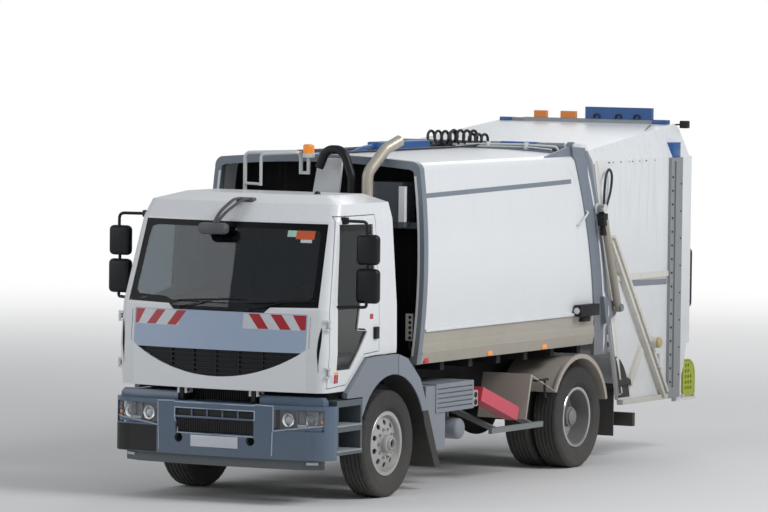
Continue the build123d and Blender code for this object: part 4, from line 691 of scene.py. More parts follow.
class TruckPaint(bpy.types.PropertyGroup):
    white: FloatVectorProperty(name="White paint", description="Colour of the cab, body and tailgate",
                               subtype="COLOR", default=(0.79, 0.81, 0.83), min=0, max=1)
    panel: FloatVectorProperty(name="Front panel", description="Colour of the panel below the windscreen",
                               subtype="COLOR", default=(0.36, 0.45, 0.60), min=0, max=1)
    bumper: FloatVectorProperty(name="Bumper", description="Colour of the front bumper", subtype="COLOR",
                                default=(0.085, 0.135, 0.21), min=0, max=1)
    grey: FloatVectorProperty(name="Grey steel", description="Colour of the body's frames and arches",
                              subtype="COLOR", default=(0.20, 0.235, 0.285), min=0, max=1)
    beige: FloatVectorProperty(name="Dusty steel",
                               description="Colour of the lower rail and the tailgate's braces",
                               subtype="COLOR", default=(0.46, 0.43, 0.37), min=0, max=1)
    stripe: FloatVectorProperty(name="Red stripes",
                                description="Colour of the slanted marks on the front", subtype="COLOR",
                                default=(0.42, 0.008, 0.02), min=0, max=1)
    step: FloatVectorProperty(name="Step colour", description="Colour of the folding riders' steps",
                              subtype="COLOR", default=(0.36, 0.42, 0.03), min=0, max=1)
    grime: FloatProperty(name="Grime", description="How dirty the lower parts are", subtype="FACTOR",
                         default=0.5, min=0, max=1)


class TruckSizes(bpy.types.PropertyGroup):
    groove: FloatProperty(name="Tread groove depth", description="Depth of the tyres' grooves",
                          unit="LENGTH", default=0.013, min=0.002, max=0.02)
    tyre_steps: IntProperty(name="Tyre steps", description="Divisions round each tyre", default=144,
                            min=48, max=240)
    nut: FloatProperty(name="Wheel nut radius", description="Half the width of a wheel nut",
                       unit="LENGTH", default=0.017, min=0.008, max=0.03)
    nuts: IntProperty(name="Wheel nuts", description="Number of nuts on each wheel", default=10, min=6,
                      max=12)
    lift: FloatProperty(name="Film thickness", description="How far a stuck-on film stands off its panel",
                        unit="LENGTH", default=0.0015, min=0.0005, max=0.005)


class TruckStage(bpy.types.PropertyGroup):
    floor: FloatVectorProperty(name="Floor", description="Colour of the floor", subtype="COLOR",
                               default=(0.72, 0.72, 0.72), min=0, max=1)
    key: FloatProperty(name="Key lamp", description="Power of the large soft lamp", unit="POWER",
                       default=2500.0, min=0)
    fill: FloatProperty(name="Fill lamp", description="Power of the wide lamp on the other side",
                        unit="POWER", default=650.0, min=0)
    sky: FloatProperty(name="Sky", description="Strength of the even light from all round", default=0.40,
                       min=0)


# Materials by what they cover


def paint_box():
    """Every finish of the truck, by name."""
    paint = bpy.context.scene.truck_paint
    dirt = paint.grime
    return {
        "white": finish("White paint", paint.white, 0.34, coat=0.25, cloud=0.03, amount=0.34 * dirt,
                        low=0.9, high=2.4, streaks=0.05),
        "gate": finish("Tailgate white", [c * 0.97 for c in paint.white], 0.4, coat=0.15, cloud=0.06,
                       amount=0.75 * dirt, low=0.6, high=2.6, streaks=0.2, wear=0.12),
        "panel": two_tone("Front panel", paint.panel, paint.white, split=curve_below_grille),
        "grey": finish("Grey steel paint", paint.grey, 0.42, coat=0.1, cloud=0.08, amount=dirt, low=0.6,
                       high=2.6, streaks=0.2, wear=0.1),
        "post": finish("Post grey paint", [c * 0.95 for c in paint.grey], 0.45, cloud=0.1,
                       amount=1.3 * dirt, low=0.6, high=2.6, streaks=0.25, wear=0.25),
        "bumper": finish("Bumper paint", paint.bumper, 0.33, coat=0.3, cloud=0.05, amount=0.5 * dirt,
                         low=0.3, high=1.0),
        "arch": finish("Arch plastic", (0.22, 0.245, 0.285), 0.5, cloud=0.06, grain=300.0, skin=0.05,
                       amount=0.5 * dirt, low=0.4, high=1.5),
        "guard": two_tone("Mudguards", (0.40, 0.36, 0.32), (0.23, 0.26, 0.31), split=front_guard,
                          rough=0.6, amount=0.35 * dirt, third=(0.008, 0.008, 0.009),
                          split_third=wheel_well),
        "gate_frame": two_tone("Tailgate frame paint", (0.25, 0.27, 0.285), (0.66, 0.64, 0.585),
                               split=ahead_of_channel, rough=0.5, amount=0.9 * dirt, streaks=0.35,
                               wear=0.3, third=(0.72, 0.73, 0.73), split_third=front_strip),
        "rear": two_tone("Rear fittings", [c * 0.9 for c in paint.white], (0.012, 0.012, 0.014),
                         split=grab_rails, rough=0.45, amount=0.5 * dirt, streaks=0.1),
        "roof_bar": two_tone("Roof bar paint", (0.30, 0.32, 0.34), (0.02, 0.10, 0.30),
                             split=above_roof_bar, rough=0.42, streaks=0.1, wear=0.15),
        "fork": finish("Mirror arm plastic", (0.10, 0.10, 0.115), 0.5, cloud=0.1, amount=0.1, low=0.5,
                       high=2.0, streaks=0.0),
        # Pale bumper edge colour, far lighter than the bumper paint: it paints the highlight where the raised
        # rims catch the light
        "outline": finish("Bumper edge highlight", (0.42, 0.50, 0.58), 0.3, coat=0.3, cloud=0.05, amount=0.3 * dirt,
                          low=0.3, high=1.0),
        "tread": finish("Step tread", (0.30, 0.35, 0.37), 0.45, metal=0.2, cloud=0.2, amount=0.7 * dirt,
                        low=0.3, high=1.2, wear=0.3),
        "case": finish("Battery case plastic", (0.25, 0.27, 0.31), 0.55, cloud=0.08, grain=300.0,
                       skin=0.06, amount=0.4 * dirt, low=0.3, high=1.4),
        "entry": finish("Step plastic", (0.085, 0.11, 0.13), 0.5, cloud=0.15, grain=300.0, skin=0.06,
                        amount=0.6 * dirt, low=0.3, high=1.2),
        "tube": finish("Grey tube paint", (0.20, 0.22, 0.23), 0.45, cloud=0.1, amount=0.6 * dirt, low=0.2,
                       high=1.4, wear=0.2),
        "pale_tube": finish("White tube paint", (0.66, 0.69, 0.69), 0.4, cloud=0.06, amount=0.2,
                            streaks=0.2, wear=0.15),
        "barrel": finish("Cylinder paint", (0.40, 0.36, 0.31), 0.42, cloud=0.15, amount=0.6, low=1.2,
                         high=3.4, streaks=0.3, wear=0.25),
        "channel": finish("Channel grey paint", (0.24, 0.26, 0.28), 0.5, cloud=0.12, amount=1.1 * dirt,
                          low=0.6, high=2.6, streaks=0.3, wear=0.3, under=(0.10, 0.08, 0.06)),
        "dark": finish("Dark steel", (0.018, 0.018, 0.02), 0.6, cloud=0.2, specular=0.3, amount=dirt,
                       low=0.2, high=1.3, wear=0.15, dirt=(0.06, 0.055, 0.05)),
        "bulkhead": finish("Bulkhead black", (0.006, 0.006, 0.007), 0.8, cloud=0.3, specular=0.2,
                           amount=0.1, streaks=0.1),
        "plastic": finish("Black plastic", (0.010, 0.011, 0.013), 0.42, cloud=0.1, grain=260.0, skin=0.06,
                          specular=0.3, amount=0.12, low=0.2, high=1.4, streaks=0.03),
        "gloss": finish("Gloss black", (0.004, 0.005, 0.006), 0.32, specular=0.15, cloud=0.1, amount=0.1,
                        low=0.2, high=1.2, streaks=0.02),
        "beige": finish("Dusty steel", paint.beige, 0.5, cloud=0.12, amount=0.8 * dirt, low=0.6, high=2.2,
                        streaks=0.25, wear=0.2),
        "brace": finish("Brace paint", (0.55, 0.53, 0.48), 0.45, cloud=0.12, amount=0.9 * dirt, low=0.6,
                        high=2.4, streaks=0.3, wear=0.2),
        "silver": finish("Silver wheel paint", (0.56, 0.56, 0.55), 0.34, metal=0.45, cloud=0.12,
                         amount=0.6 * dirt, low=0.0, high=1.4, streaks=0.0),
        "rim": finish("Rear wheel paint", (0.30, 0.31, 0.32), 0.42, metal=0.4, cloud=0.15,
                      amount=1.1 * dirt, low=0.0, high=1.5, streaks=0.0),
        "rod": finish("Polished rod", (0.62, 0.62, 0.63), 0.16, metal=1.0, cloud=0.05, amount=0.1,
                      streaks=0.05),
        "aluminium": finish("Bare aluminium", (0.50, 0.49, 0.46), 0.34, metal=0.75, cloud=0.12,
                            amount=0.5 * dirt, low=0.6, high=2.2, streaks=0.15),
        "pipe": finish("Exhaust steel", (0.50, 0.46, 0.39), 0.4, metal=0.35, cloud=0.2, amount=0.1,
                       streaks=0.3, dirt=(0.26, 0.2, 0.14)),
        "red": finish("Red paint", (0.68, 0.05, 0.10), 0.35, coat=0.2, cloud=0.1, amount=0.6 * dirt,
                      low=0.3, high=1.2),
        "stripe": finish("Red film", paint.stripe, 0.3, coat=0.3, cloud=0.05, amount=0.05, streaks=0.02),
        "film": finish("White film", (0.62, 0.65, 0.69), 0.28, coat=0.3, cloud=0.03, amount=0.05,
                       streaks=0.02),
        "blue": finish("Blue paint", (0.02, 0.10, 0.30), 0.4, coat=0.15, cloud=0.1, amount=0.1,
                       wear=0.15),
        "step": finish("Step mesh paint", paint.step, 0.5, cloud=0.15, amount=0.4 * dirt, low=0.3,
                       high=1.2, wear=0.2),
        "yellow": finish("Aged yellow", (0.50, 0.42, 0.20), 0.5, cloud=0.2, amount=0.3, wear=0.3),
        "tank": two_tone("Hydraulic tank paint", (0.10, 0.115, 0.14), paint.white, split=white_covers,
                         rough=0.5),
        "rust": finish("Worn trough steel", (0.16, 0.13, 0.11), 0.55, metal=0.4, cloud=0.35, amount=0.7,
                       low=0.4, high=3.0, wear=0.5, streaks=0.4),
        "fabric": finish("Cab fabric", (0.05, 0.055, 0.07), 0.85, cloud=0.3, grain=420.0, skin=0.35,
                         amount=0.02, streaks=0.0),
        "tyre": rubber("Tyre rubber", (0.022, 0.022, 0.024), 0.72, 210.0, 0.42),
        "flap": rubber("Flap rubber", (0.02, 0.02, 0.02), 0.8, 160.0, 0.5),
        "hose": finish("Hose rubber", (0.02, 0.02, 0.022), 0.5, cloud=0.2, grain=300.0, skin=0.1,
                       amount=0.2, streaks=0.1),
        "screen": glass("Windscreen glass", (0.20, 0.255, 0.30)),
        "window": glass("Door glass", (0.26, 0.30, 0.30)),
        "lens": glass("Lamp glass", (0.92, 0.94, 0.95), rough=0.01),
        "chrome": finish("Lamp reflector", (0.75, 0.76, 0.77), 0.1, metal=1.0, cloud=0.03, amount=0.02,
                         streaks=0.0),
        "mirror": finish("Mirror glass", (0.72, 0.74, 0.76), 0.03, metal=1.0, cloud=0.02, amount=0.03,
                         streaks=0.03, spread=0.02),
        "amber": lit_plastic("Amber plastic", (0.85, 0.26, 0.015), glow=0.25),
        "red_lamp": lit_plastic("Red plastic", (0.5, 0.01, 0.008)),
        "tail": two_tone("Tail lamps", (0.5, 0.01, 0.008), (0.75, 0.22, 0.02), split=high_up, rough=0.2),
        "clear_lamp": lit_plastic("Clear plastic", (0.62, 0.64, 0.66)),
    }


COVERS = {
    "white": ("cab_shell", "cab_roof", "door_left", "door_right", "body_shell"),
    "gate": ("tailgate_shell",),
    "rear": ("rear_fittings",),
    "panel": ("cab_front",),
    "grey": ("body_front_frame",),
    "post": ("body_rear_frame",),
    "gate_frame": ("tailgate_frame",),
    "bumper": ("front_bumper",),
    "arch": ("cab_arches",),
    "guard": ("mudguards",),
    "case": ("battery_box",),
    "entry": ("entry_steps",),
    "tube": ("side_guards",),
    "pale_tube": ("pipe_guard",),
    "barrel": ("lift_barrels",),
    "dark": ("chassis_frame", "front_axle", "rear_axle", "knuckle_left", "knuckle_right", "engine",
             "bin_lifter"),
    "bulkhead": ("body_floor",),
    "plastic": ("grille", "mirrors_left", "mirrors_right", "air_intake"),
    "beige": ("body_rails",),
    "aluminium": ("fuel_tank",),
    "silver": ("rim_front_left", "rim_front_right"),
    "roof_bar": ("roof_box",),
    "rim": ("rim_rear_left", "rim_rear_right"),
    "rod": ("lift_rods", "packer_rods"),
    "pipe": ("exhaust_stack",),
    "red": ("tool_case",),
    "step": ("footboard_left", "footboard_right"),
    "tank": ("hydraulic_tank",),
    "rust": ("ejector_plate", "packer_blade", "packer_carriage"),
    "fabric": ("cab_interior",),
    "tyre": ("tyre_front_left", "tyre_front_right", "tyres_rear_left", "tyres_rear_right"),
    "flap": ("mudflaps",),
    "screen": ("windscreen",),
    "window": ("door_glass_left", "door_glass_right"),
    "lens": ("headlamps",),
    "amber": ("beacon_lens",),
    "tail": ("tail_lamps",),
}


def cover(node, material):
    """Give a CAD part one finish."""
    mesh = NODES[node].data
    mesh.materials.clear()
    mesh.materials.append(material)


class TRUCK_OT_paint(bpy.types.Operator):
    """Paint every CAD part of the truck with its finish"""

    bl_idname = "truck.paint"
    bl_label = "Paint the parts"

    def execute(self, context):
        GROUPS["surface"] = surface_group()
        GROUPS["grime"] = grime_group()
        GROUPS["wear"] = wear_group()
        box = paint_box()
        for name, nodes in COVERS.items():
            for node in nodes:
                cover(node, box[name])
        missed = set(NODES) - {node for nodes in COVERS.values() for node in nodes}
        if missed:
            raise RuntimeError(f"these parts have no finish: {sorted(missed)}")
        return {"FINISHED"}


# Wheels

TREAD_RADIUS = 518.5
CROWN = 1.4
SHOULDER = 114
GROOVES = (87, 44, 0)
RIB_EDGE = 95
SHOULDER_SIPE = 8
RIB_SIPE = 5

FRONT_TYRES = (1000,)
REAR_TYRES = (1050, 720)


def tyre_profile(depth):
    """(distance from the middle, radius) round a tyre: beads, ringed walls, shoulders and a grooved tread."""
    half = [(100, 293), (106, 300), (108, 318), (118, 330), (127, 345), (130, 347), (133, 352), (139, 378),
            (143, 405), (144, 415), (143.5, 424), (143, 452), (141, 470), (142, 474), (139, 480), (137, 490),
            (132, 499), (124, 510), (SHOULDER, 517)]
    floor = TREAD_RADIUS - depth
    tread = []
    for middle in GROOVES:
        tread += [(middle + 6.5, TREAD_RADIUS), (middle + 4, floor), (middle - 4, floor),
                  (middle - 6.5, TREAD_RADIUS)]
    tread = [(min(x, SHOULDER), r) for x, r in tread]
    tread = [(x, r + CROWN - CROWN * (x / SHOULDER) ** 2) for x, r in tread]
    right = half + tread[:-2]
    left = [(-x, r) for x, r in reversed(right)]
    return right + left


def sipe(along, radius, n):
    """How far a tyre's surface is cut in at one of its divisions."""
    if abs(along) > RIB_EDGE and radius > 496 and n % 4 == 0:
        return SHOULDER_SIPE
    if abs(along) < RIB_EDGE and radius > 515 and n % 6 == (0 if along > 0 else 3):
        return RIB_SIPE
    return 0


def add_tyre(bm, x, y, depth, steps):
    """A tyre with grooves round it and sipes across its shoulders and ribs."""
    middle = spot(x, y, WHEEL_Z)
    loops = []
    for along, radius in tyre_profile(depth):
        ring = []
        for n in range(steps):
            angle = 2 * math.pi * n / steps
            r = (radius - sipe(along, radius, n)) / MM
            ring.append(middle + Vector((along / MM, r * math.sin(angle), r * math.cos(angle))))
        loops.append(ring)
    loops.append(loops[0])
    add_loops(bm, loops)
    bmesh.ops.remove_doubles(bm, verts=bm.verts, dist=MERGE)


class TRUCK_OT_tyres(bpy.types.Operator):
    """Make the six tyres with their tread and ringed walls"""

    bl_idname = "truck.tyres"
    bl_label = "Tyres"

    def execute(self, context):
        sizes = context.scene.truck_sizes
        tyre = paint_box()["tyre"]
        for side, sign in BOTH_SIDES:
            for end, places, y, node in (("front", FRONT_TYRES, 0, f"tyre_front_{side}"),
                                         ("rear", REAR_TYRES, REAR_AXLE, f"tyres_rear_{side}")):
                bm = bmesh.new()
                for x in places:
                    add_tyre(bm, sign * x, y, sizes.groove * MM, sizes.tyre_steps)
                piece = new_piece(f"tread_{end}_{side}", bm, f"wheel_{end}_{side}", tyre, angle=28)
                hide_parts(node)
        return {"FINISHED"}


NUT_HEIGHT = 20
NUT_RINGS = {"front": 140, "rear": 167}
WHEEL_Y = {"front": 0, "rear": REAR_AXLE}
HUB_FACE = {"front": 1128, "rear": 1090}
RIM_FACE = {"front": 1114, "rear": 1164}
OUTSIDE_WHEELS = 1500


def add_wheel_nuts(bm, end, side, sign, count, radius):
    """Nuts in a ring on the disc of one wheel."""
    node = f"rim_{end}_{side}"
    ring, y = NUT_RINGS[end], WHEEL_Y[end]
    for n in range(count):
        angle = 2 * math.pi * (n + 0.5) / count
        place = (y + ring * math.sin(angle), WHEEL_Z + ring * math.cos(angle))
        found = land([node], spot(sign * OUTSIDE_WHEELS, *place), Vector((-sign, 0, 0)))
        if found is None:
            raise RuntimeError(f"no wheel disc for a nut on {node}")
        add_hex(bm, (found.x * MM - sign, *place), sign, radius, NUT_HEIGHT)


class TRUCK_OT_hubs(bpy.types.Operator):
    """Make the wheel nuts, the hubs and the bright lips of the rims"""

    bl_idname = "truck.hubs"
    bl_label = "Wheel nuts and hubs"

    def execute(self, context):
        sizes = context.scene.truck_sizes
        box = paint_box()
        for side, sign in BOTH_SIDES:
            for end in WHEEL_Y:
                bm = bmesh.new()
                add_wheel_nuts(bm, end, side, sign, sizes.nuts, sizes.nut * MM)
                new_piece(f"nuts_{end}_{side}", bm, f"wheel_{end}_{side}", box["rod"])
            self.hubs(box, side, sign)
            self.lips(box, side, sign)
        return {"FINISHED"}

    def hubs(self, box, side, sign):
        centre = {end: (sign * HUB_FACE[end], y, WHEEL_Z) for end, y in WHEEL_Y.items()}
        bm = bmesh.new()
        cap = [(0, 92), (14, 90), (26, 84), (30, 72), (30, 66), (50, 62), (58, 56), (58, 48), (50, 45),
               (26, 43)]
        add_lathe(bm, cap, centre["front"], outward=sign)
        add_lathe(bm, [(26, 43), (24, 20), (24, TIP)], centre["front"], outward=sign, material=1)
        new_piece(f"hub_front_{side}", bm, f"wheel_front_{side}", [box["silver"], box["dark"]])
        bm = bmesh.new()
        cap = [(-6, 104), (8, 100), (12, 86), (30, 82), (34, 60), (40, 54), (44, 30), (45, TIP)]
        add_lathe(bm, cap, centre["rear"], outward=sign)
        new_piece(f"hub_rear_{side}", bm, f"wheel_rear_{side}", box["rim"])

    def lips(self, box, side, sign):
        lip = [(0, 288), (2, 300), (3, 309), (-2, 314), (-7, 309), (-5, 289)]
        for tone, (end, y) in enumerate(WHEEL_Y.items()):
            bm = bmesh.new()
            add_lathe(bm, lip, (sign * RIM_FACE[end], y, WHEEL_Z), outward=sign, steps=72, closed=True,
                      material=tone)
            new_piece(f"rim_lip_{end}_{side}", bm, f"wheel_{end}_{side}", [box["silver"], box["rod"]])


# Cab front

SCREEN = [(-1000, 2668), (1000, 2668), (1046, 1885), (560, 1875), (500, 1822), (-500, 1822), (-560, 1875),
          (-1046, 1885)]
SCREEN_VIEW = [(-935, 2612), (935, 2612), (975, 1955), (600, 1940), (545, 1905), (-545, 1905), (-600, 1940),
               (-975, 1955)]
SCREEN_MIDDLE = (0, 2260)

DOOR_VIEW = [(-920, 2656), (-296, 2642), (-298, 1982), (-606, 1922), (-672, 1656), (-480, 1640), (-795, 1292),
             (-1048, 1292), (-1042, 1950)]
DOOR_MIDDLE = (-790, 1900)
SEAL_SHARE = 0.93

WIPER_FEET = (-430, 330)
WIPER_REACH = 560
WIPER_FOOT_Z = 1848


def shrink(path, middle, share):
    """A plane path drawn in towards its middle."""
    return [(middle[0] + (x - middle[0]) * share, middle[1] + (z - middle[1]) * share) for x, z in path]


class TRUCK_OT_windscreen(bpy.types.Operator):
    """Make the windscreen's black edge, blank stickers, wipers and device, and the cab's dark lining, whose
    darkness also paints the shade inside the cab
    """

    bl_idname = "truck.windscreen"
    bl_label = "Windscreen"

    def execute(self, context):
        box = paint_box()
        bm = bmesh.new()
        outer = shrink(SCREEN, SCREEN_MIDDLE, 0.995)
        inner = soft_corners(SCREEN_VIEW, 60)
        add_skin(bm, "front", ["windscreen"], ring_rows(outer, inner, SCREEN_MIDDLE, 160), lift=1.2)
        new_piece("screen_edge", bm, "cab", box["gloss"])
        self.stickers(box)
        self.wipers(box)
        bm = bmesh.new()
        add_box(bm, (-80, -985, 2395), (230, -915, 2515), 22)
        add_pipe(bm, [(75, -960, 2500), (75, -965, 2600)], 14)
        new_piece("screen_device", bm, "cab", box["plastic"])
        # Dark fabric lining behind the windscreen: partly the cab's trim, and partly painted shade inside the
        # cab
        bm = bmesh.new()
        add_skin(bm, "front", ["cab_shell"], block_rows(-980, 980, 1500, 2560, 8, 8), lift=4)
        new_piece("cab_lining_and_shade", bm, "cab", box["fabric"])
        return {"FINISHED"}

    def stickers(self, box):
        bm = bmesh.new()
        places = ((600, 690, 2540, 2600), (690, 880, 2520, 2600), (745, 860, 2488, 2518))
        for film, place in enumerate(places):
            add_skin(bm, "front", ["windscreen"], block_rows(*place, steps=5), lift=1.6, material=film)
        pale = finish("Pale green film", (0.42, 0.66, 0.55), 0.4, amount=0.02)
        orange = finish("Orange film", (0.62, 0.10, 0.03), 0.4, amount=0.02)
        new_piece("screen_stickers", bm, "cab", [pale, orange, box["film"]])

    def wipers(self, box):
        """Each wiper is a pivot, a flat arm and a blade that follows the glass."""
        bm = bmesh.new()
        for x0 in WIPER_FEET:
            y0 = face_y(["windscreen"], x0, WIPER_FOOT_Z + 2)
            add_lathe(bm, [(-14, 16), (10, 16), (16, 10), (16, TIP)], (x0, y0 - 8, WIPER_FOOT_Z), "Y", 20,
                      outward=-1)
            elbow_x, end_x, end_z = x0 + WIPER_REACH * 0.3, x0 + WIPER_REACH * 0.6, 1925
            end_y = face_y(["windscreen"], end_x, end_z) - 22
            arm = [(x0, y0 - 24, WIPER_FOOT_Z), (elbow_x, (y0 + end_y) / 2 - 14, 1880), (end_x, end_y, end_z)]
            add_pipe(bm, arm, 8, flat=0.5)
            blade = []
            for along in (-0.05, 0.4, 0.85, 1.2):
                x, z = x0 + WIPER_REACH * along, 1912 + 30 * along
                blade.append((x, face_y(["windscreen"], x, z) - 9, z))
            add_pipe(bm, blade, 7, bend=60)
        new_piece("wipers", bm, "cab", box["plastic"])


BAND_END = 936
BAND_FOOT, BAND_TOP = 1668, 1816
MARK_FOOT, MARK_TOP = 1672, 1812


class TRUCK_OT_front_marks(bpy.types.Operator):
    """Make the band of slanted red marks below the windscreen"""

    bl_idname = "truck.front_marks"
    bl_label = "Front marks"

    def execute(self, context):
        box = paint_box()
        lift = context.scene.truck_sizes.lift * MM
        panel = ["cab_front"]
        bm = bmesh.new()
        for x0, x1 in ((-BAND_END, -425), (285, BAND_END)):
            add_skin(bm, "front", panel, block_rows(x0, x1, BAND_FOOT, BAND_TOP, 24, 5), lift=lift * 0.6)
        new_piece("front_band", bm, "cab", box["film"])
        bm = bmesh.new()
        # The foot's two ends, then the top's two ends, of each mark
        marks = [(-BAND_END, -905, -826, -BAND_END)]
        marks += [(x, x + 105, x + 215, x + 110) for x in (-800, -560)]
        marks += [(x + 95, x + 205, x + 100, x - 15) for x in (355, 585)]
        marks.append((890, BAND_END, BAND_END, 800))
        for corners in marks:
            corners = list(zip(corners, (MARK_FOOT, MARK_FOOT, MARK_TOP, MARK_TOP)))
            add_skin(bm, "front", panel, quad_rows(corners, 7, 5), lift=lift)
        new_piece("front_marks", bm, "cab", box["stripe"])
        return {"FINISHED"}


class TRUCK_OT_cab_trim(bpy.types.Operator):
    """Make the corner vanes, the knob on the roof, and the doors' films, handles and seals"""

    bl_idname = "truck.cab_trim"
    bl_label = "Cab trim"

    def execute(self, context):
        box = paint_box()
        bm = bmesh.new()
        for sign in (-1, 1):
            add_skin(bm, "front", ["cab_shell"], self.vane_rows(sign), lift=2)
        new_piece("corner_vanes", bm, "cab", box["gloss"])
        bm = bmesh.new()
        add_lathe(bm, [(0, 34), (10, 32), (26, 26), (34, 14), (36, TIP)], (560, -430, 2918), "Z", 24)
        new_piece("roof_knob", bm, "cab", box["plastic"])
        for side, sign in BOTH_SIDES:
            self.door(box, side, sign)
        return {"FINISHED"}

    def vane_rows(self, sign):
        """Rows across a vane that bends and widens on its way down."""
        rows = []
        for n in range(15):
            t = n / 14
            z = 1700 - 420 * t
            x = 1092 - 30 * math.sin(math.pi * t * 0.5) + 10 * t
            wide = 4 + 26 * math.sin(math.pi * min(1, t * 1.15) ** 0.8)
            rows.append([(sign * (x - wide / 2), z), (sign * (x + wide / 2), z)])
        return rows

    def door(self, box, side, sign):
        body = f"door_{side}"
        bm = bmesh.new()
        # The amber film takes the glowing amber lamp plastic, so it gives off painted light though it is no
        # lamp
        for place, film in (((-420, -355, 1745, 1795), 0), ((-1165, -1120, 1170, 1245), 1),
                            ((-1100, -1020, 1165, 1246), 0), ((-1062, -1046, 1165, 1246), 1),
                            ((-1100, -1020, 1250, 1272), 2)):
            add_skin(bm, side, [body], block_rows(*place, steps=4), lift=1.4, material=film)
        new_piece(f"door_films_{side}", bm, body, [box["stripe"], box["film"], box["amber"]])
        bm = bmesh.new()
        add_box(bm, (1136, -352, 1552), (1176, -268, 1668), 9, sign=sign)
        new_piece(f"door_handle_{side}", bm, body, box["plastic"])
        bm = bmesh.new()
        outer = soft_corners(DOOR_VIEW, 34)
        inner = shrink(outer, DOOR_MIDDLE, SEAL_SHARE)
        rows = [outer + outer[:1], inner + inner[:1]]
        add_skin(bm, side, [body, f"door_glass_{side}"], rows, lift=2.5)
        new_piece(f"door_seal_{side}", bm, body, box["plastic"])


MIRROR_X = 1372
ARM_Y = -905
ARM_TOP, ARM_FOOT = 2700, 1890


class TRUCK_OT_mirrors(bpy.types.Operator):
    """Make the side mirrors on their arms, and the front mirror on its forked arm"""

    bl_idname = "truck.mirrors"
    bl_label = "Mirrors"

    def execute(self, context):
        box = paint_box()
        for side, sign in BOTH_SIDES:
            self.side_mirrors(box, side, sign)
        bm = bmesh.new()
        for x in (-52, 52):
            prong = [(x + 55, -905, 2880), (x + 30, -1010, 2885), (x * 0.6 - 60, -1165, 2760),
                     (x * 0.3 - 110, -1215, 2655)]
            add_pipe(bm, prong, 25, bend=70, flat=0.45)
        add_box(bm, (-40, -960, 2845), (150, -880, 2895), 14)
        add_box(bm, (-290, -1270, 2545), (20, -1150, 2655), 40)
        new_piece("front_mirror", bm, "cab", box["fork"])
        return {"FINISHED"}

    def side_mirrors(self, box, side, sign):
        body = f"door_{side}"
        bm = bmesh.new()
        for z0, z1, half in ((1925, 2255, 122), (2290, 2580, 118)):
            add_box(bm, (MIRROR_X - half, -925, z0), (MIRROR_X + half, -822, z1), 46, segments=4, sign=sign)
        for points in ([(1040, -850, ARM_TOP), (MIRROR_X, ARM_Y, ARM_TOP), (MIRROR_X, ARM_Y, 2560)],
                       [(MIRROR_X, ARM_Y, 1950), (MIRROR_X, ARM_Y, ARM_FOOT), (1100, -1080, ARM_FOOT)],
                       [(MIRROR_X, -890, 2240), (MIRROR_X, -890, 2310)]):
            add_pipe(bm, mirrored(sign, points), 15, bend=55)
        for y, z in ((-850, ARM_TOP), (-1085, ARM_FOOT)):
            add_box(bm, (1050, y - 40, z - 34), (1128, y + 40, z + 34), 12, sign=sign)
        housing = new_piece(f"mirror_housings_{side}", bm, body, box["plastic"])
        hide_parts(f"mirrors_{side}")
        bm = bmesh.new()
        for z0, z1, half in ((1960, 2220, 92), (2325, 2545, 88)):
            add_box(bm, (MIRROR_X - half, -828, z0), (MIRROR_X + half, -818, z1), 4, sign=sign)
        new_piece(f"mirror_glass_{side}", bm, body, box["mirror"])


LAMP_Z = 815
BUMPER_FRONT_LIMIT = -1395
BUMPER_BACK_LIMIT = -1240
SLOT_BAR_STEP = 24.5
GRILLE_BAR_STEP = 25
EDGE_STEPS = 12


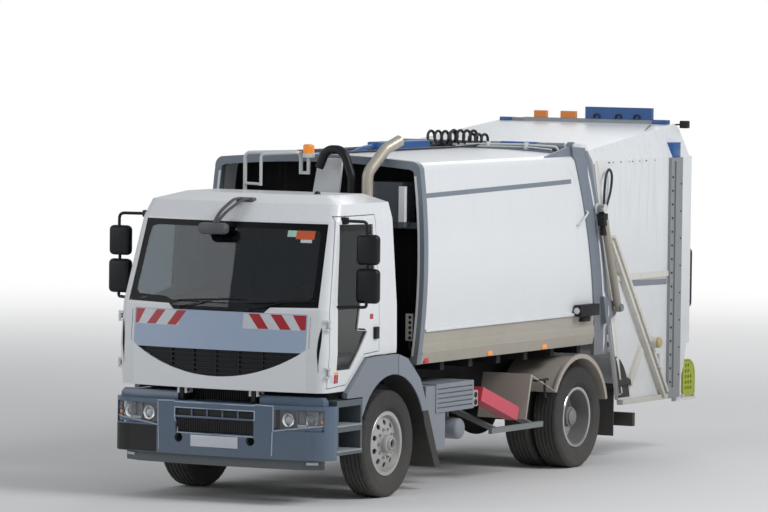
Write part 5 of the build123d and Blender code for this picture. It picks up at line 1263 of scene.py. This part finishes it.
class TRUCK_OT_bumper(bpy.types.Operator):
    """Make the lamp bowls, the bumper's mesh, bridge, edges, tops and end, the blank plate and the steps"""

    bl_idname = "truck.bumper"
    bl_label = "Bumper and lamps"

    def execute(self, context):
        box = paint_box()
        self.lamps(box)
        self.slots(box)
        self.edges(box)
        self.tops(box)
        self.steps(box)
        return {"FINISHED"}

    def lamps(self, box):
        """Bowls and bulbs behind the lamp glass, with the dark housing round them."""
        bright, clear, amber, case = range(4)
        bm = bmesh.new()
        for sign in (-1, 1):
            for x, y, radius, bulb_finish in ((768, -1300, 66, clear), (1000, -1268, 58, case)):
                bowl = [(0, radius), (3, radius - 4), (24, radius * 0.72), (36, radius * 0.4), (40, TIP)]
                add_lathe(bm, bowl, (sign * x, y, LAMP_Z), "Y", 32, material=bright)
                bulb = [(-2, radius * 0.56), (-10, radius * 0.44), (-15, radius * 0.2), (-16, TIP)]
                add_lathe(bm, bulb, (sign * x, y + 14, LAMP_Z), "Y", 24, material=bulb_finish)
            add_box(bm, (860, -1292, 744), (960, -1276, 776), 6, material=clear, sign=sign)
            add_box(bm, (1086, -1252, 790), (1112, -1242, 822), 5, material=amber, sign=sign)
            add_box(bm, (648, -1252, 722), (1066, -1240, 908), 6, material=case, sign=sign)
            add_box(bm, (1060, -1236, 722), (1128, -1228, 908), 6, material=case, sign=sign)
            for x in (850, 925):
                add_box(bm, (x, -1284, 724), (x + 8, -1250, 906), 2, material=case, sign=sign)
        finishes = [box["chrome"], box["clear_lamp"], box["amber"], box["case"]]
        new_piece("lamp_bowls", bm, "chassis", finishes)

    def slots(self, box):
        """Bars in the bumper's slots and the grille's foot, the bridge between them and the blank plate."""
        bm = bmesh.new()
        for z0, z1 in ((660, 790), (813, 876)):
            add_box(bm, (-427, -1371, z0), (427, -1367, z1), 1)
        for n in range(35):
            x = -417 + n * SLOT_BAR_STEP
            add_box(bm, (x - 4, -1379, 664), (x + 4, -1370, 788), 1.5, segments=1)
        for n in range(27):
            x = -325 + n * GRILLE_BAR_STEP
            add_box(bm, (x - 5, -1190, 962), (x + 5, -1176, 1070), 2, segments=1)
        add_box(bm, (-338, -1178, 958), (338, -1170, 1074), 2)
        new_piece("bumper_mesh", bm, "chassis", box["plastic"])
        bm = bmesh.new()
        add_box(bm, (-428, -1388, 791), (428, -1366, 812), 4)
        for x in (-255, -85, 85, 255):
            add_box(bm, (x - 9, -1382, 810), (x + 9, -1368, 878), 3)
        for sign in (-1, 1):
            low = [(660, 724), (1118, 724), (1118, 772), (660, 727)]
            add_skin(bm, "front", ["headlamps"], quad_rows([(sign * x, z) for x, z in low], 24, 3), lift=2)
        new_piece("bumper_bridge", bm, "chassis", box["bumper"])
        bm = bmesh.new()
        add_box(bm, (-255, -1401, 522), (265, -1388, 632), 4)
        new_piece("plate_front", bm, "chassis", box["film"])

    def edges(self, box):
        """Raised edges of the bumper, laid on its face, in a pale colour that paints the highlight along
        them.
        """
        bm = bmesh.new()
        lines = [[(-440, 888), (440, 888), (440, 804), (-440, 804), (-440, 888)],
                 [(-440, 800), (-405, 648), (425, 640)],
                 [(-640, 944), (-450, 950), (-436, 940), (436, 940), (450, 950), (640, 944)]]
        for sign in (-1, 1):
            lines.append([(sign * 634, 936), (sign * 634, 708), (sign * 1130, 772)])
            lines.append([(sign * 628, 700), (sign * 622, 470)])
        for line in lines:
            points = []
            for (x0, z0), (x1, z1) in zip(line, line[1:]):
                for n in range(EDGE_STEPS):
                    points.append((x0 + (x1 - x0) * n / EDGE_STEPS, z0 + (z1 - z0) * n / EDGE_STEPS))
            points.append(line[-1])
            path = []
            for x, z in points:
                y = face_y(["front_bumper", "headlamps"], x, z)
                if y is not None and y < BUMPER_BACK_LIMIT:
                    path.append((x, max(y - 1, BUMPER_FRONT_LIMIT), z))
            add_pipe(bm, path, 6, bend=6, sides=6)
        new_piece("bumper_edge_highlights", bm, "chassis", box["outline"])

    def tops(self, box):
        """Fairings on the bumper's top and the dark skin on the end of its right side."""
        bm = bmesh.new()
        for sign in (-1, 1):
            low = [(450, -1310), (960, -1290), (1115, -1255), (1135, -1190), (450, -1190)]
            high = [(450, -1290), (950, -1272), (1090, -1240), (1105, -1190), (450, -1190)]
            loops = [[spot(sign * x, y, z) for x, y in plan] for plan,
                     z in ((low, 956), (low, 1000), (high, 1036))]
            add_loops(bm, loops, cap=True)
        new_piece("bumper_tops", bm, "chassis", box["bumper"])
        bm = bmesh.new()
        add_skin(bm, "front", ["front_bumper"], block_rows(-1186, -652, 446, 700, 24, 4), lift=2)
        new_piece("bumper_end", bm, "chassis", box["plastic"])

    def steps(self, box):
        """Treads on the entry steps and the small lamps in the skirt."""
        bm = bmesh.new()
        for sign in (-1, 1):
            for z in (520, 760):
                for n in range(5):
                    x = 960 + n * 46
                    add_box(bm, (x, -1070, z), (x + 22, -660, z + 9), 3, segments=1, sign=sign)
                rail = [(1172, -1100, z - 4), (1184, -1085, z - 4), (1184, -640, z - 4)]
                add_pipe(bm, mirrored(sign, rail), 13, bend=20)
        new_piece("step_treads", bm, "chassis", box["tread"])
        bm = bmesh.new()
        for sign in (-1, 1):
            turn = Matrix.Rotation(sign * math.radians(26), 4, "Z")
            add_box(bm, (940, -1262, 392), (1060, -1238, 424), 10, turn=turn, sign=sign)
        new_piece("skirt_lamps", bm, "chassis", box["clear_lamp"])


# Body

STRIP_STEPS = 24


def side_strip(bm, side, nodes, points, width, lift):
    """A painted stripe of one width along a line on the truck's side."""
    line = []
    for (y0, z0), (y1, z1) in zip(points, points[1:]):
        for n in range(STRIP_STEPS):
            t = n / STRIP_STEPS
            line.append((y0 + (y1 - y0) * t, z0 + (z1 - z0) * t))
    line.append(points[-1])
    rows = [[(y, z - width / 2) for y, z in line], [(y, z + width / 2) for y, z in line]]
    add_skin(bm, side, nodes, rows, lift=lift)


class TRUCK_OT_body_marks(bpy.types.Operator):
    """Make the body's grey stripes, its sills and the side marker lamps"""

    bl_idname = "truck.body_marks"
    bl_label = "Body marks"

    def execute(self, context):
        box = paint_box()
        for side, sign in BOTH_SIDES:
            bm = bmesh.new()
            side_strip(bm, side, ["body_shell"], [(650, 2895), (3000, 2935), (3800, 2950)], 46, 1.5)
            new_piece(f"body_stripe_{side}", bm, "chassis", box["grey"])
            bm = bmesh.new()
            add_box(bm, (1140, 640, 1566), (1196, 4322, 1600), 9, sign=sign)
            new_piece(f"body_sill_{side}", bm, "chassis", box["white"])
            bm = bmesh.new()
            for y, lamp in ((760, 1), (2100, 0), (3300, 0)):
                add_box(bm, (1122, y - 50, 1256), (1140, y + 50, 1312), 5, material=lamp, sign=sign)
            new_piece(f"side_markers_{side}", bm, "chassis", [box["amber"], box["red_lamp"]])
        return {"FINISHED"}


class TRUCK_OT_body_frames(bpy.types.Operator):
    """Make the rear posts' handles and white faces, and the white edge of the front frame"""

    bl_idname = "truck.body_frames"
    bl_label = "Body frames"

    def execute(self, context):
        box = paint_box()
        for side, sign in BOTH_SIDES:
            bm = bmesh.new()
            side_strip(bm, side, ["body_shell"], [(3760, 3085), (3890, 2960), (3985, 2460)], 9, 6)
            handle = [(1180, 3880, 2500), (1232, 3885, 2505), (1238, 4060, 2630), (1195, 4080, 2640)]
            add_pipe(bm, mirrored(sign, handle), 10, bend=24)
            new_piece(f"post_handle_{side}", bm, "chassis", box["pale_tube"])
            bm = bmesh.new()
            side_strip(bm, side, ["body_rear_frame"], [(4666, 1195), (4170, 3040)], 124, 2)
            new_piece(f"post_face_{side}", bm, "chassis", box["white"])
            bm = bmesh.new()
            rows = [[], []]
            for n in range(40):
                z = 1330 + n * 45
                inner = next(x for x in range(1000, 1215, 2)
                             if face_y(["body_front_frame"], sign * x, z) is not None)
                rows[0].append((sign * (inner + 1), z))
                rows[1].append((sign * (inner + 26), z))
            add_skin(bm, "front", ["body_front_frame"], rows, lift=1.5)
            new_piece(f"frame_edge_{side}", bm, "chassis", box["white"])
        return {"FINISHED"}


class TRUCK_OT_chassis_fittings(bpy.types.Operator):
    """Make the valve block, the air tank's end, the lamp bracket and the guard's handles"""

    bl_idname = "truck.chassis_fittings"
    bl_label = "Chassis fittings"

    def execute(self, context):
        box = paint_box()
        bm = bmesh.new()
        add_box(bm, (1000, 566, 1480), (1078, 596, 1745), 6)
        knob = [(0, 17), (6, 16), (7, 9), (1, 8), (0, TIP)]
        for z in range(1510, 1711, 50):
            add_lathe(bm, knob, (1052, 566, z), "Y", 16, outward=-1, material=1)
        add_pipe(bm, [(1040, 580, 1480), (1040, 585, 1400), (1090, 590, 1370)], 12, material=1)
        new_piece("valve_block", bm, "chassis", [box["brace"], box["dark"]])
        bm = bmesh.new()
        dome = [(0, 104), (16, 98), (30, 84), (40, 62), (46, 32), (48, TIP)]
        add_lathe(bm, [(-190, TIP), (-190, 104)] + dome, (1105, 1500, 565), steps=40)
        add_box(bm, (960, 1482, 660), (990, 1518, 762), 4)
        new_piece("air_tank_end", bm, "chassis", box["case"])
        bm = bmesh.new()
        add_box(bm, (1118, 1722, 770), (1150, 1832, 930), 8)
        for z in (812, 886):
            add_lathe(bm, [(0, 30), (5, 29), (7, 24), (1, 20), (0, TIP)], (1150, 1777, z), steps=24,
                      material=1)
        new_piece("lamp_bracket", bm, "chassis", [box["brace"], box["dark"]])
        bm = bmesh.new()
        for points in ([(1150, 3040, 955), (1192, 3030, 955), (1192, 3290, 950), (1150, 3300, 950)],
                       [(1192, 3205, 945), (1198, 3200, 820), (1180, 3260, 770)]):
            add_pipe(bm, points, 13, bend=20)
        new_piece("guard_handles", bm, "chassis", box["plastic"])
        return {"FINISHED"}


class TRUCK_OT_side_box(bpy.types.Operator):
    """Make the dark lamp box on the body's side, with its bracket"""

    bl_idname = "truck.side_box"
    bl_label = "Side lamp box"

    def execute(self, context):
        box = paint_box()
        lamp_x, lamp_z = 1227, 1622
        bm = bmesh.new()
        add_box(bm, (1182, 3860, 1560), (1272, 4290, 1680), 12)
        add_box(bm, (1160, 4020, 1500), (1215, 4190, 1565), 6)
        add_lathe(bm, [(0, 44), (14, 42), (20, 34)], (lamp_x, 3862, lamp_z), "Y", 28, outward=-1)
        new_piece("side_box", bm, "chassis", box["dark"])
        bm = bmesh.new()
        add_lathe(bm, [(0, 36), (8, 33), (12, 20), (13, TIP)], (lamp_x, 3850, lamp_z), "Y", 28, outward=-1)
        new_piece("side_box_lens", bm, "chassis", box["clear_lamp"])
        return {"FINISHED"}


# Roof

HINGE_Y, HINGE_Z = 4085, 3287
BLUE_RAIL_X = -960
COIL_LEAN = 34


def coil_line(x0, x1, y, z, radius, turns):
    """Points along a hose that lies in leaning turns."""
    count = int(turns * 16)
    line = []
    for n in range(count + 1):
        t = n / count
        angle = 2 * math.pi * turns * t
        across = x0 + (x1 - x0) * t + COIL_LEAN * math.cos(angle)
        line.append((across, y + radius * 0.62 * math.cos(angle), z + radius * math.sin(angle)))
    return line


class TRUCK_OT_roof_lines(bpy.types.Operator):
    """Make the hydraulic hoses, coils and tubes on the roof"""

    bl_idname = "truck.roof_lines"
    bl_label = "Roof lines"

    def execute(self, context):
        box = paint_box()
        bm = bmesh.new()
        for x0, x1, y, z, radius, turns in ((-590, -300, 3990, 3345, 78, 3.5),
                                            (-330, -60, 4006, 3352, 84, 3.5),
                                            (-120, 60, 4022, 3335, 66, 2.5)):
            add_pipe(bm, coil_line(x0, x1, y, z, radius, turns), 15, bend=12, sides=8)
        for x, y in ((-560, 3250), (-420, 3180), (20, 3420)):
            hose = [(x, 3990, 3300), (x - 30, 3900, 3284), (x - 60, y, 3276), (x - 70, 700, 3272)]
            add_pipe(bm, hose, 11, bend=80, sides=8)
        new_piece("roof_hoses", bm, "chassis", box["hose"])
        bm = bmesh.new()
        add_pipe(bm, [(-300, 3970, 3290), (60, 3965, 3300), (520, 3975, 3306), (900, 3990, 3292),
                      (905, 4020, 3225)], 13, bend=70)
        add_pipe(bm, [(-250, 3940, 3275), (180, 3930, 3280), (600, 3945, 3282), (860, 3950, 3262)], 10,
                 bend=70)
        for x in (120, 560):
            add_box(bm, (x - 14, 3925, 3225), (x + 14, 3990, 3330), 4)
        new_piece("roof_tubes", bm, "chassis", box["pale_tube"])
        return {"FINISHED"}


class TRUCK_OT_roof_parts(bpy.types.Operator):
    """Make the blue rail and box, the tailgate's hinge tube and its blue patches"""

    bl_idname = "truck.roof_parts"
    bl_label = "Roof parts"

    def execute(self, context):
        box = paint_box()
        bm = bmesh.new()
        rail = [(690, 3215), (1400, 3238), (3700, 3238), (3860, 3222)]
        add_pipe(bm, [(BLUE_RAIL_X, y, z) for y, z in rail], 17, bend=60)
        add_box(bm, (BLUE_RAIL_X - 25, 1300, 3165), (BLUE_RAIL_X + 25, 3650, 3232), 6)
        add_box(bm, (-430, 2350, 3222), (-290, 3450, 3345), 14)
        add_pipe(bm, [(-360, 2360, 3300), (-360, 2150, 3290), (-360, 1900, 3240)], 24, bend=80)
        new_piece("blue_rail", bm, "chassis", box["blue"])
        bm = bmesh.new()
        add_lathe(bm, [(-940, TIP), (-940, 44), (940, 44), (940, TIP)], (0, HINGE_Y, HINGE_Z), steps=28)
        for x in (-600, -150, 300, 700):
            add_box(bm, (x - 50, HINGE_Y, 3225), (x + 50, HINGE_Y + 105, 3268), 6)
        add_box(bm, (-874, 6386, 3468), (-716, 6438, 3518), 5)
        new_piece("hinge_tube", bm, "tailgate", box["channel"])
        bm = bmesh.new()
        add_lathe(bm, [(-210, 46), (-210, 48), (210, 48), (210, 46)], (420, HINGE_Y, HINGE_Z), steps=28)
        for low, high in (((820, 6380, 3460), (1000, 6462, 3528)), ((-1010, 6380, 3460), (-860, 6462, 3520)),
                          ((1090, 6130, 3130), (1198, 6320, 3300))):
            add_box(bm, low, high, 8)
        new_piece("blue_patches", bm, "tailgate", box["blue"])
        return {"FINISHED"}


# Tailgate

CHANNEL_FACE = 1222
GUARD_FOOT, GUARD_RISE = 660, 440
FRAME_FOOT_Y, FRAME_FOOT_Z = 4760, 1130
FRAME_RUN, FRAME_RISE = 560, 2090
STEP_RIM_X = 1165


class TRUCK_OT_lift_fittings(bpy.types.Operator):
    """Make the tailgate's boss caps and the lift cylinders' hoses and valves"""

    bl_idname = "truck.lift_fittings"
    bl_label = "Lift fittings"

    def execute(self, context):
        box = paint_box()
        for side, sign in BOTH_SIDES:
            bm = bmesh.new()
            cap = [(0, 52), (6, 55), (26, 54), (36, 46), (40, 20), (41, TIP)]
            add_lathe(bm, cap, (sign * 1306, 5600, 1210), outward=sign, steps=32)
            new_piece(f"boss_cap_{side}", bm, "tailgate", box["yellow"])
            bm = bmesh.new()
            loop = [(1240, 4405, 2700), (1248, 4400, 2840), (1250, 4420, 2990), (1246, 4500, 3075),
                    (1240, 4590, 3010), (1232, 4590, 2850), (1222, 4500, 2660)]
            add_pipe(bm, mirrored(sign, loop), 13, bend=90)
            new_piece(f"lift_hose_{side}", bm, "tailgate", box["hose"])
            bm = bmesh.new()
            add_box(bm, (1236, 4270, 2480), (1316, 4362, 2610), 9, sign=sign)
            add_box(bm, (1250, 4300, 2380), (1300, 4380, 2480), 9, sign=sign)
            new_piece(f"lift_valve_{side}", bm, "lift_barrel", box["dark"])
        return {"FINISHED"}


class TRUCK_OT_tailgate_sides(bpy.types.Operator):
    """Make the bolts, seams, bands and fittings on both sides of the tailgate"""

    bl_idname = "truck.tailgate_sides"
    bl_label = "Tailgate sides"

    def execute(self, context):
        box = paint_box()
        for side, sign in BOTH_SIDES:
            self.bolts(box, side, sign)
            self.bands(box, side, sign)
            self.guard(box, side)
            self.seams(box, side)
            bm = bmesh.new()
            canister = [(0, TIP), (0, 24), (4, 32), (150, 32), (154, 24), (154, TIP)]
            add_lathe(bm, canister, (sign * 1252, 5770, 930), "Z", 24)
            add_box(bm, (1175, 5745, 990), (1248, 5795, 1030), 5, sign=sign)
            new_piece(f"gate_canister_{side}", bm, "tailgate", box["pale_tube"])
            bm = bmesh.new()
            rim = [(6786, 600), (6786, 800), (6740, 915), (6630, 960), (6515, 962)]
            add_pipe(bm, [(sign * STEP_RIM_X, y, z) for y, z in rim], 13, bend=60, sides=8)
            new_piece(f"step_rim_{side}", bm, f"step_{side}", box["plastic"])
        return {"FINISHED"}

    def bolts(self, box, side, sign):
        bm = bmesh.new()
        for z in range(760, 3080, 145):
            add_lathe(bm, [(0, 13), (7, 12), (10, 7), (10, TIP)], (sign * CHANNEL_FACE, 6085, z),
                      outward=sign,
                      steps=6)
        for z in range(830, 3080, 290):
            add_lathe(bm, [(0, 10), (6, 9), (8, TIP)], (sign * CHANNEL_FACE, 6290, z), outward=sign, steps=6)
        new_piece(f"channel_bolts_{side}", bm, "tailgate", box["dark"])

    def bands(self, box, side, sign):
        """The pale rear edge, the grey band and the red film on the back."""
        bm = bmesh.new()
        add_skin(bm, side, ["tailgate_shell"], block_rows(6345, 6405, 915, 3060, 3, 24), lift=2)
        new_piece(f"gate_edge_{side}", bm, "tailgate", box["gate"])
        bm = bmesh.new()
        side_strip(bm, side, ["tailgate_shell"], [(4950, 1850), (6030, 1830)], 60, 2)
        new_piece(f"gate_band_{side}", bm, "tailgate", box["grey"])
        bm = bmesh.new()
        film = block_rows(sign * 1120, sign * 1182, 1500, 2950, 3, 12)
        add_skin(bm, "rear", ["tailgate_shell"], film, lift=2)
        new_piece(f"rear_film_{side}", bm, "tailgate", box["stripe"])

    def guard(self, box, side):
        """A rubber guard on the tailgate's foot, straight ahead and curved behind."""
        bm = bmesh.new()
        rows = [[], []]
        for n in range(20):
            z = GUARD_FOOT + GUARD_RISE * n / 19
            start = FRAME_FOOT_Y - (z - FRAME_FOOT_Z) / FRAME_RISE * FRAME_RUN + 18
            rows[0].append((start, z))
            bulge = (1 - ((z - GUARD_FOOT) / (GUARD_RISE + 1)) ** 2.6) ** 0.5
            rows[1].append((start + 12 + 260 * bulge, z))
        add_skin(bm, side, ["tailgate_frame", "tailgate_shell"], rows, lift=4)
        new_piece(f"gate_guard_{side}", bm, "tailgate", box["flap"])

    def seams(self, box, side):
        bm = bmesh.new()
        for y, wide in ((4590, 46), (4700, 22), (4880, 30), (5080, 16), (5160, 26), (5330, 20), (5480, 34),
                        (5700, 18)):
            mark = [(y, 3118), (y + wide, 3114), (y + wide, 3128), (y, 3130)]
            add_skin(bm, side, ["tailgate_shell"], quad_rows(mark, 3), lift=1.5)
        new_piece(f"seam_marks_{side}", bm, "tailgate", box["dark"])


class TRUCK_OT_tailgate_roof(bpy.types.Operator):
    """Make the grey line on the tailgate's roof and the corner lamp on its arm"""

    bl_idname = "truck.tailgate_roof"
    bl_label = "Tailgate roof"

    def execute(self, context):
        box = paint_box()
        bm = bmesh.new()
        line = [(985, 5860), (1010, 5860), (850, 6320), (822, 6320)]
        add_skin(bm, "top", ["tailgate_shell"], quad_rows(line, 3, 8), lift=2)
        new_piece("roof_line", bm, "tailgate", box["grey"])
        bm = bmesh.new()
        add_box(bm, (1060, 6560, 3440), (1150, 6640, 3520), 10)
        add_pipe(bm, [(1000, 6500, 3470), (1050, 6560, 3480), (1080, 6600, 3480)], 9)
        for x in (160, 420, 640):
            hoop = [(x - 34, 6384, 3530), (x - 26, 6376, 3572), (x + 26, 6376, 3572), (x + 34, 6384, 3530)]
            add_pipe(bm, hoop, 8, bend=26)
        new_piece("corner_lamp", bm, "tailgate", box["dark"])
        return {"FINISHED"}


# Stage

FLOOR_RINGS = (0.001, 6, 20, 60, 400)
WHITE_FROM, WHITE_TO = 8.0, 34.0
LOOK_AT = Vector((0, 0, 1.5))

CAMERA_TURN, CAMERA_TIP, CAMERA_ROLL = 0.498694, 0.051444, 0.012591
CAMERA_PLACE = Vector((26.292, -49.025, 5.047))
CAMERA_LENS = 256.87
SENSOR_WIDTH = 36.0


class TRUCK_OT_stage(bpy.types.Operator):
    """Make the floor, the lamps, the sky and the camera"""

    bl_idname = "truck.stage"
    bl_label = "Stage and camera"

    def execute(self, context):
        stage = context.scene.truck_stage
        self.floor(stage)
        self.sky(stage)
        self.lamps(stage)
        self.camera(context)
        view = context.scene.view_settings
        view.view_transform = "Standard"
        return {"FINISHED"}

    def floor(self, stage):
        bm = bmesh.new()
        angles = [2 * math.pi * n / 64 for n in range(64)]
        rings = [[Vector((r * math.cos(a), r * math.sin(a), 0)) for a in angles] for r in FLOOR_RINGS]
        add_loops(bm, rings)
        mesh = bpy.data.meshes.new("floor")
        bmesh.ops.recalc_face_normals(bm, faces=bm.faces)
        bm.to_mesh(mesh)
        bm.free()
        floor = bpy.data.objects.new("floor", mesh)
        bpy.context.scene.collection.objects.link(floor)
        material = bpy.data.materials.new("Floor")
        material.use_nodes = True
        tree = material.node_tree
        shader = tree.nodes["Principled BSDF"]
        shader.inputs["Base Color"].default_value = rgba(stage.floor)
        shader.inputs["Roughness"].default_value = 0.85
        white = tree.nodes.new("ShaderNodeEmission")
        mix = tree.nodes.new("ShaderNodeMixShader")
        fade = tree.nodes.new("ShaderNodeMapRange")
        fade.interpolation_type = "SMOOTHSTEP"
        distance = vector_maths(tree, "LENGTH", object_place(tree), output="Value")
        tree.links.new(distance, fade.inputs["Value"])
        fade.inputs["From Min"].default_value = WHITE_FROM
        fade.inputs["From Max"].default_value = WHITE_TO
        path = tree.nodes.new("ShaderNodeLightPath")
        seen = maths(tree, "MAXIMUM", path.outputs["Is Camera Ray"], path.outputs["Is Glossy Ray"])
        seen = maths(tree, "MAXIMUM", seen, path.outputs["Is Transmission Ray"])
        tree.links.new(maths(tree, "MULTIPLY", seen, fade.outputs[0]), mix.inputs[0])
        tree.links.new(shader.outputs[0], mix.inputs[1])
        tree.links.new(white.outputs[0], mix.inputs[2])
        tree.links.new(mix.outputs[0], tree.nodes["Material Output"].inputs["Surface"])
        mesh.materials.append(material)

    def sky(self, stage):
        """Even pale light from all round, white where the camera sees it."""
        world = bpy.data.worlds.new("Sky")
        bpy.context.scene.world = world
        world.use_nodes = True
        tree = world.node_tree
        light = tree.nodes["Background"]
        light.inputs["Color"].default_value = (0.93, 0.96, 1.0, 1)
        light.inputs["Strength"].default_value = stage.sky
        seen = tree.nodes.new("ShaderNodeBackground")
        seen.inputs["Color"].default_value = (1, 1, 1, 1)
        path = tree.nodes.new("ShaderNodeLightPath")
        mix = tree.nodes.new("ShaderNodeMixShader")
        shown = maths(tree, "MAXIMUM", path.outputs["Is Camera Ray"], path.outputs["Is Transmission Ray"])
        tree.links.new(shown, mix.inputs[0])
        tree.links.new(light.outputs[0], mix.inputs[1])
        tree.links.new(seen.outputs[0], mix.inputs[2])
        tree.links.new(mix.outputs[0], tree.nodes["World Output"].inputs["Surface"])

    def lamps(self, stage):
        for name, place, power, size in (("key", (17, -2, 15), stage.key, 9.0),
                                         ("fill", (-14, -16, 9), stage.fill, 12.0),
                                         ("back", (-4, 18, 12), stage.fill, 12.0)):
            data = bpy.data.lights.new(name, "AREA")
            data.energy = power
            data.shape = "DISK"
            data.size = size
            lamp = bpy.data.objects.new(name, data)
            lamp.location = place
            aim = LOOK_AT - lamp.location
            lamp.rotation_euler = aim.to_track_quat("-Z", "Y").to_euler()
            bpy.context.scene.collection.objects.link(lamp)

    def camera(self, context):
        """The camera that was fitted to the photograph's wheels."""
        turn, tip, roll = CAMERA_TURN, CAMERA_TIP, CAMERA_ROLL
        forward = Vector((-math.sin(turn) * math.cos(tip), math.cos(turn) * math.cos(tip), -math.sin(tip)))
        right = forward.cross(Vector((0, 0, 1))).normalized()
        up = right.cross(forward)
        across = right * math.cos(roll) + up * math.sin(roll)
        rise = up * math.cos(roll) - right * math.sin(roll)
        data = bpy.data.cameras.new("camera")
        data.lens = CAMERA_LENS
        data.sensor_width = SENSOR_WIDTH
        data.clip_end = 900.0
        camera = bpy.data.objects.new("camera", data)
        matrix = Matrix((across, rise, -forward)).transposed().to_4x4()
        matrix.translation = CAMERA_PLACE
        camera.matrix_world = matrix
        context.scene.collection.objects.link(camera)
        context.scene.camera = camera


class TRUCK_PT_panel(bpy.types.Panel):
    bl_label = "Garbage truck"
    bl_idname = "TRUCK_PT_panel"
    bl_space_type = "VIEW_3D"
    bl_region_type = "UI"
    bl_category = "Truck"

    def draw(self, context):
        for name in ("truck_paint", "truck_sizes", "truck_stage"):
            group = getattr(context.scene, name)
            part = self.layout.box()
            for key in group.__annotations__:
                part.prop(group, key)
        for step in STEPS:
            self.layout.operator(step.bl_idname)


SETTINGS = (("truck_paint", TruckPaint), ("truck_sizes", TruckSizes), ("truck_stage", TruckStage))
STEPS = (TRUCK_OT_stage, TRUCK_OT_paint, TRUCK_OT_tyres, TRUCK_OT_hubs, TRUCK_OT_windscreen,
         TRUCK_OT_front_marks, TRUCK_OT_cab_trim, TRUCK_OT_mirrors, TRUCK_OT_bumper, TRUCK_OT_body_marks,
         TRUCK_OT_body_frames, TRUCK_OT_chassis_fittings, TRUCK_OT_side_box, TRUCK_OT_roof_lines,
         TRUCK_OT_roof_parts, TRUCK_OT_lift_fittings, TRUCK_OT_tailgate_sides, TRUCK_OT_tailgate_roof)


def register():
    for name, kind in SETTINGS:
        bpy.utils.register_class(kind)
        setattr(bpy.types.Scene, name, PointerProperty(type=kind))
    for kind in (*STEPS, TRUCK_PT_panel):
        bpy.utils.register_class(kind)


def unregister():
    for kind in reversed((*STEPS, TRUCK_PT_panel)):
        bpy.utils.unregister_class(kind)
    for name, kind in reversed(SETTINGS):
        delattr(bpy.types.Scene, name)
        bpy.utils.unregister_class(kind)


def main():
    register()
    for step in STEPS:
        group, name = step.bl_idname.split(".")
        getattr(getattr(bpy.ops, group), name)()


if __name__ == "__main__":
    main()
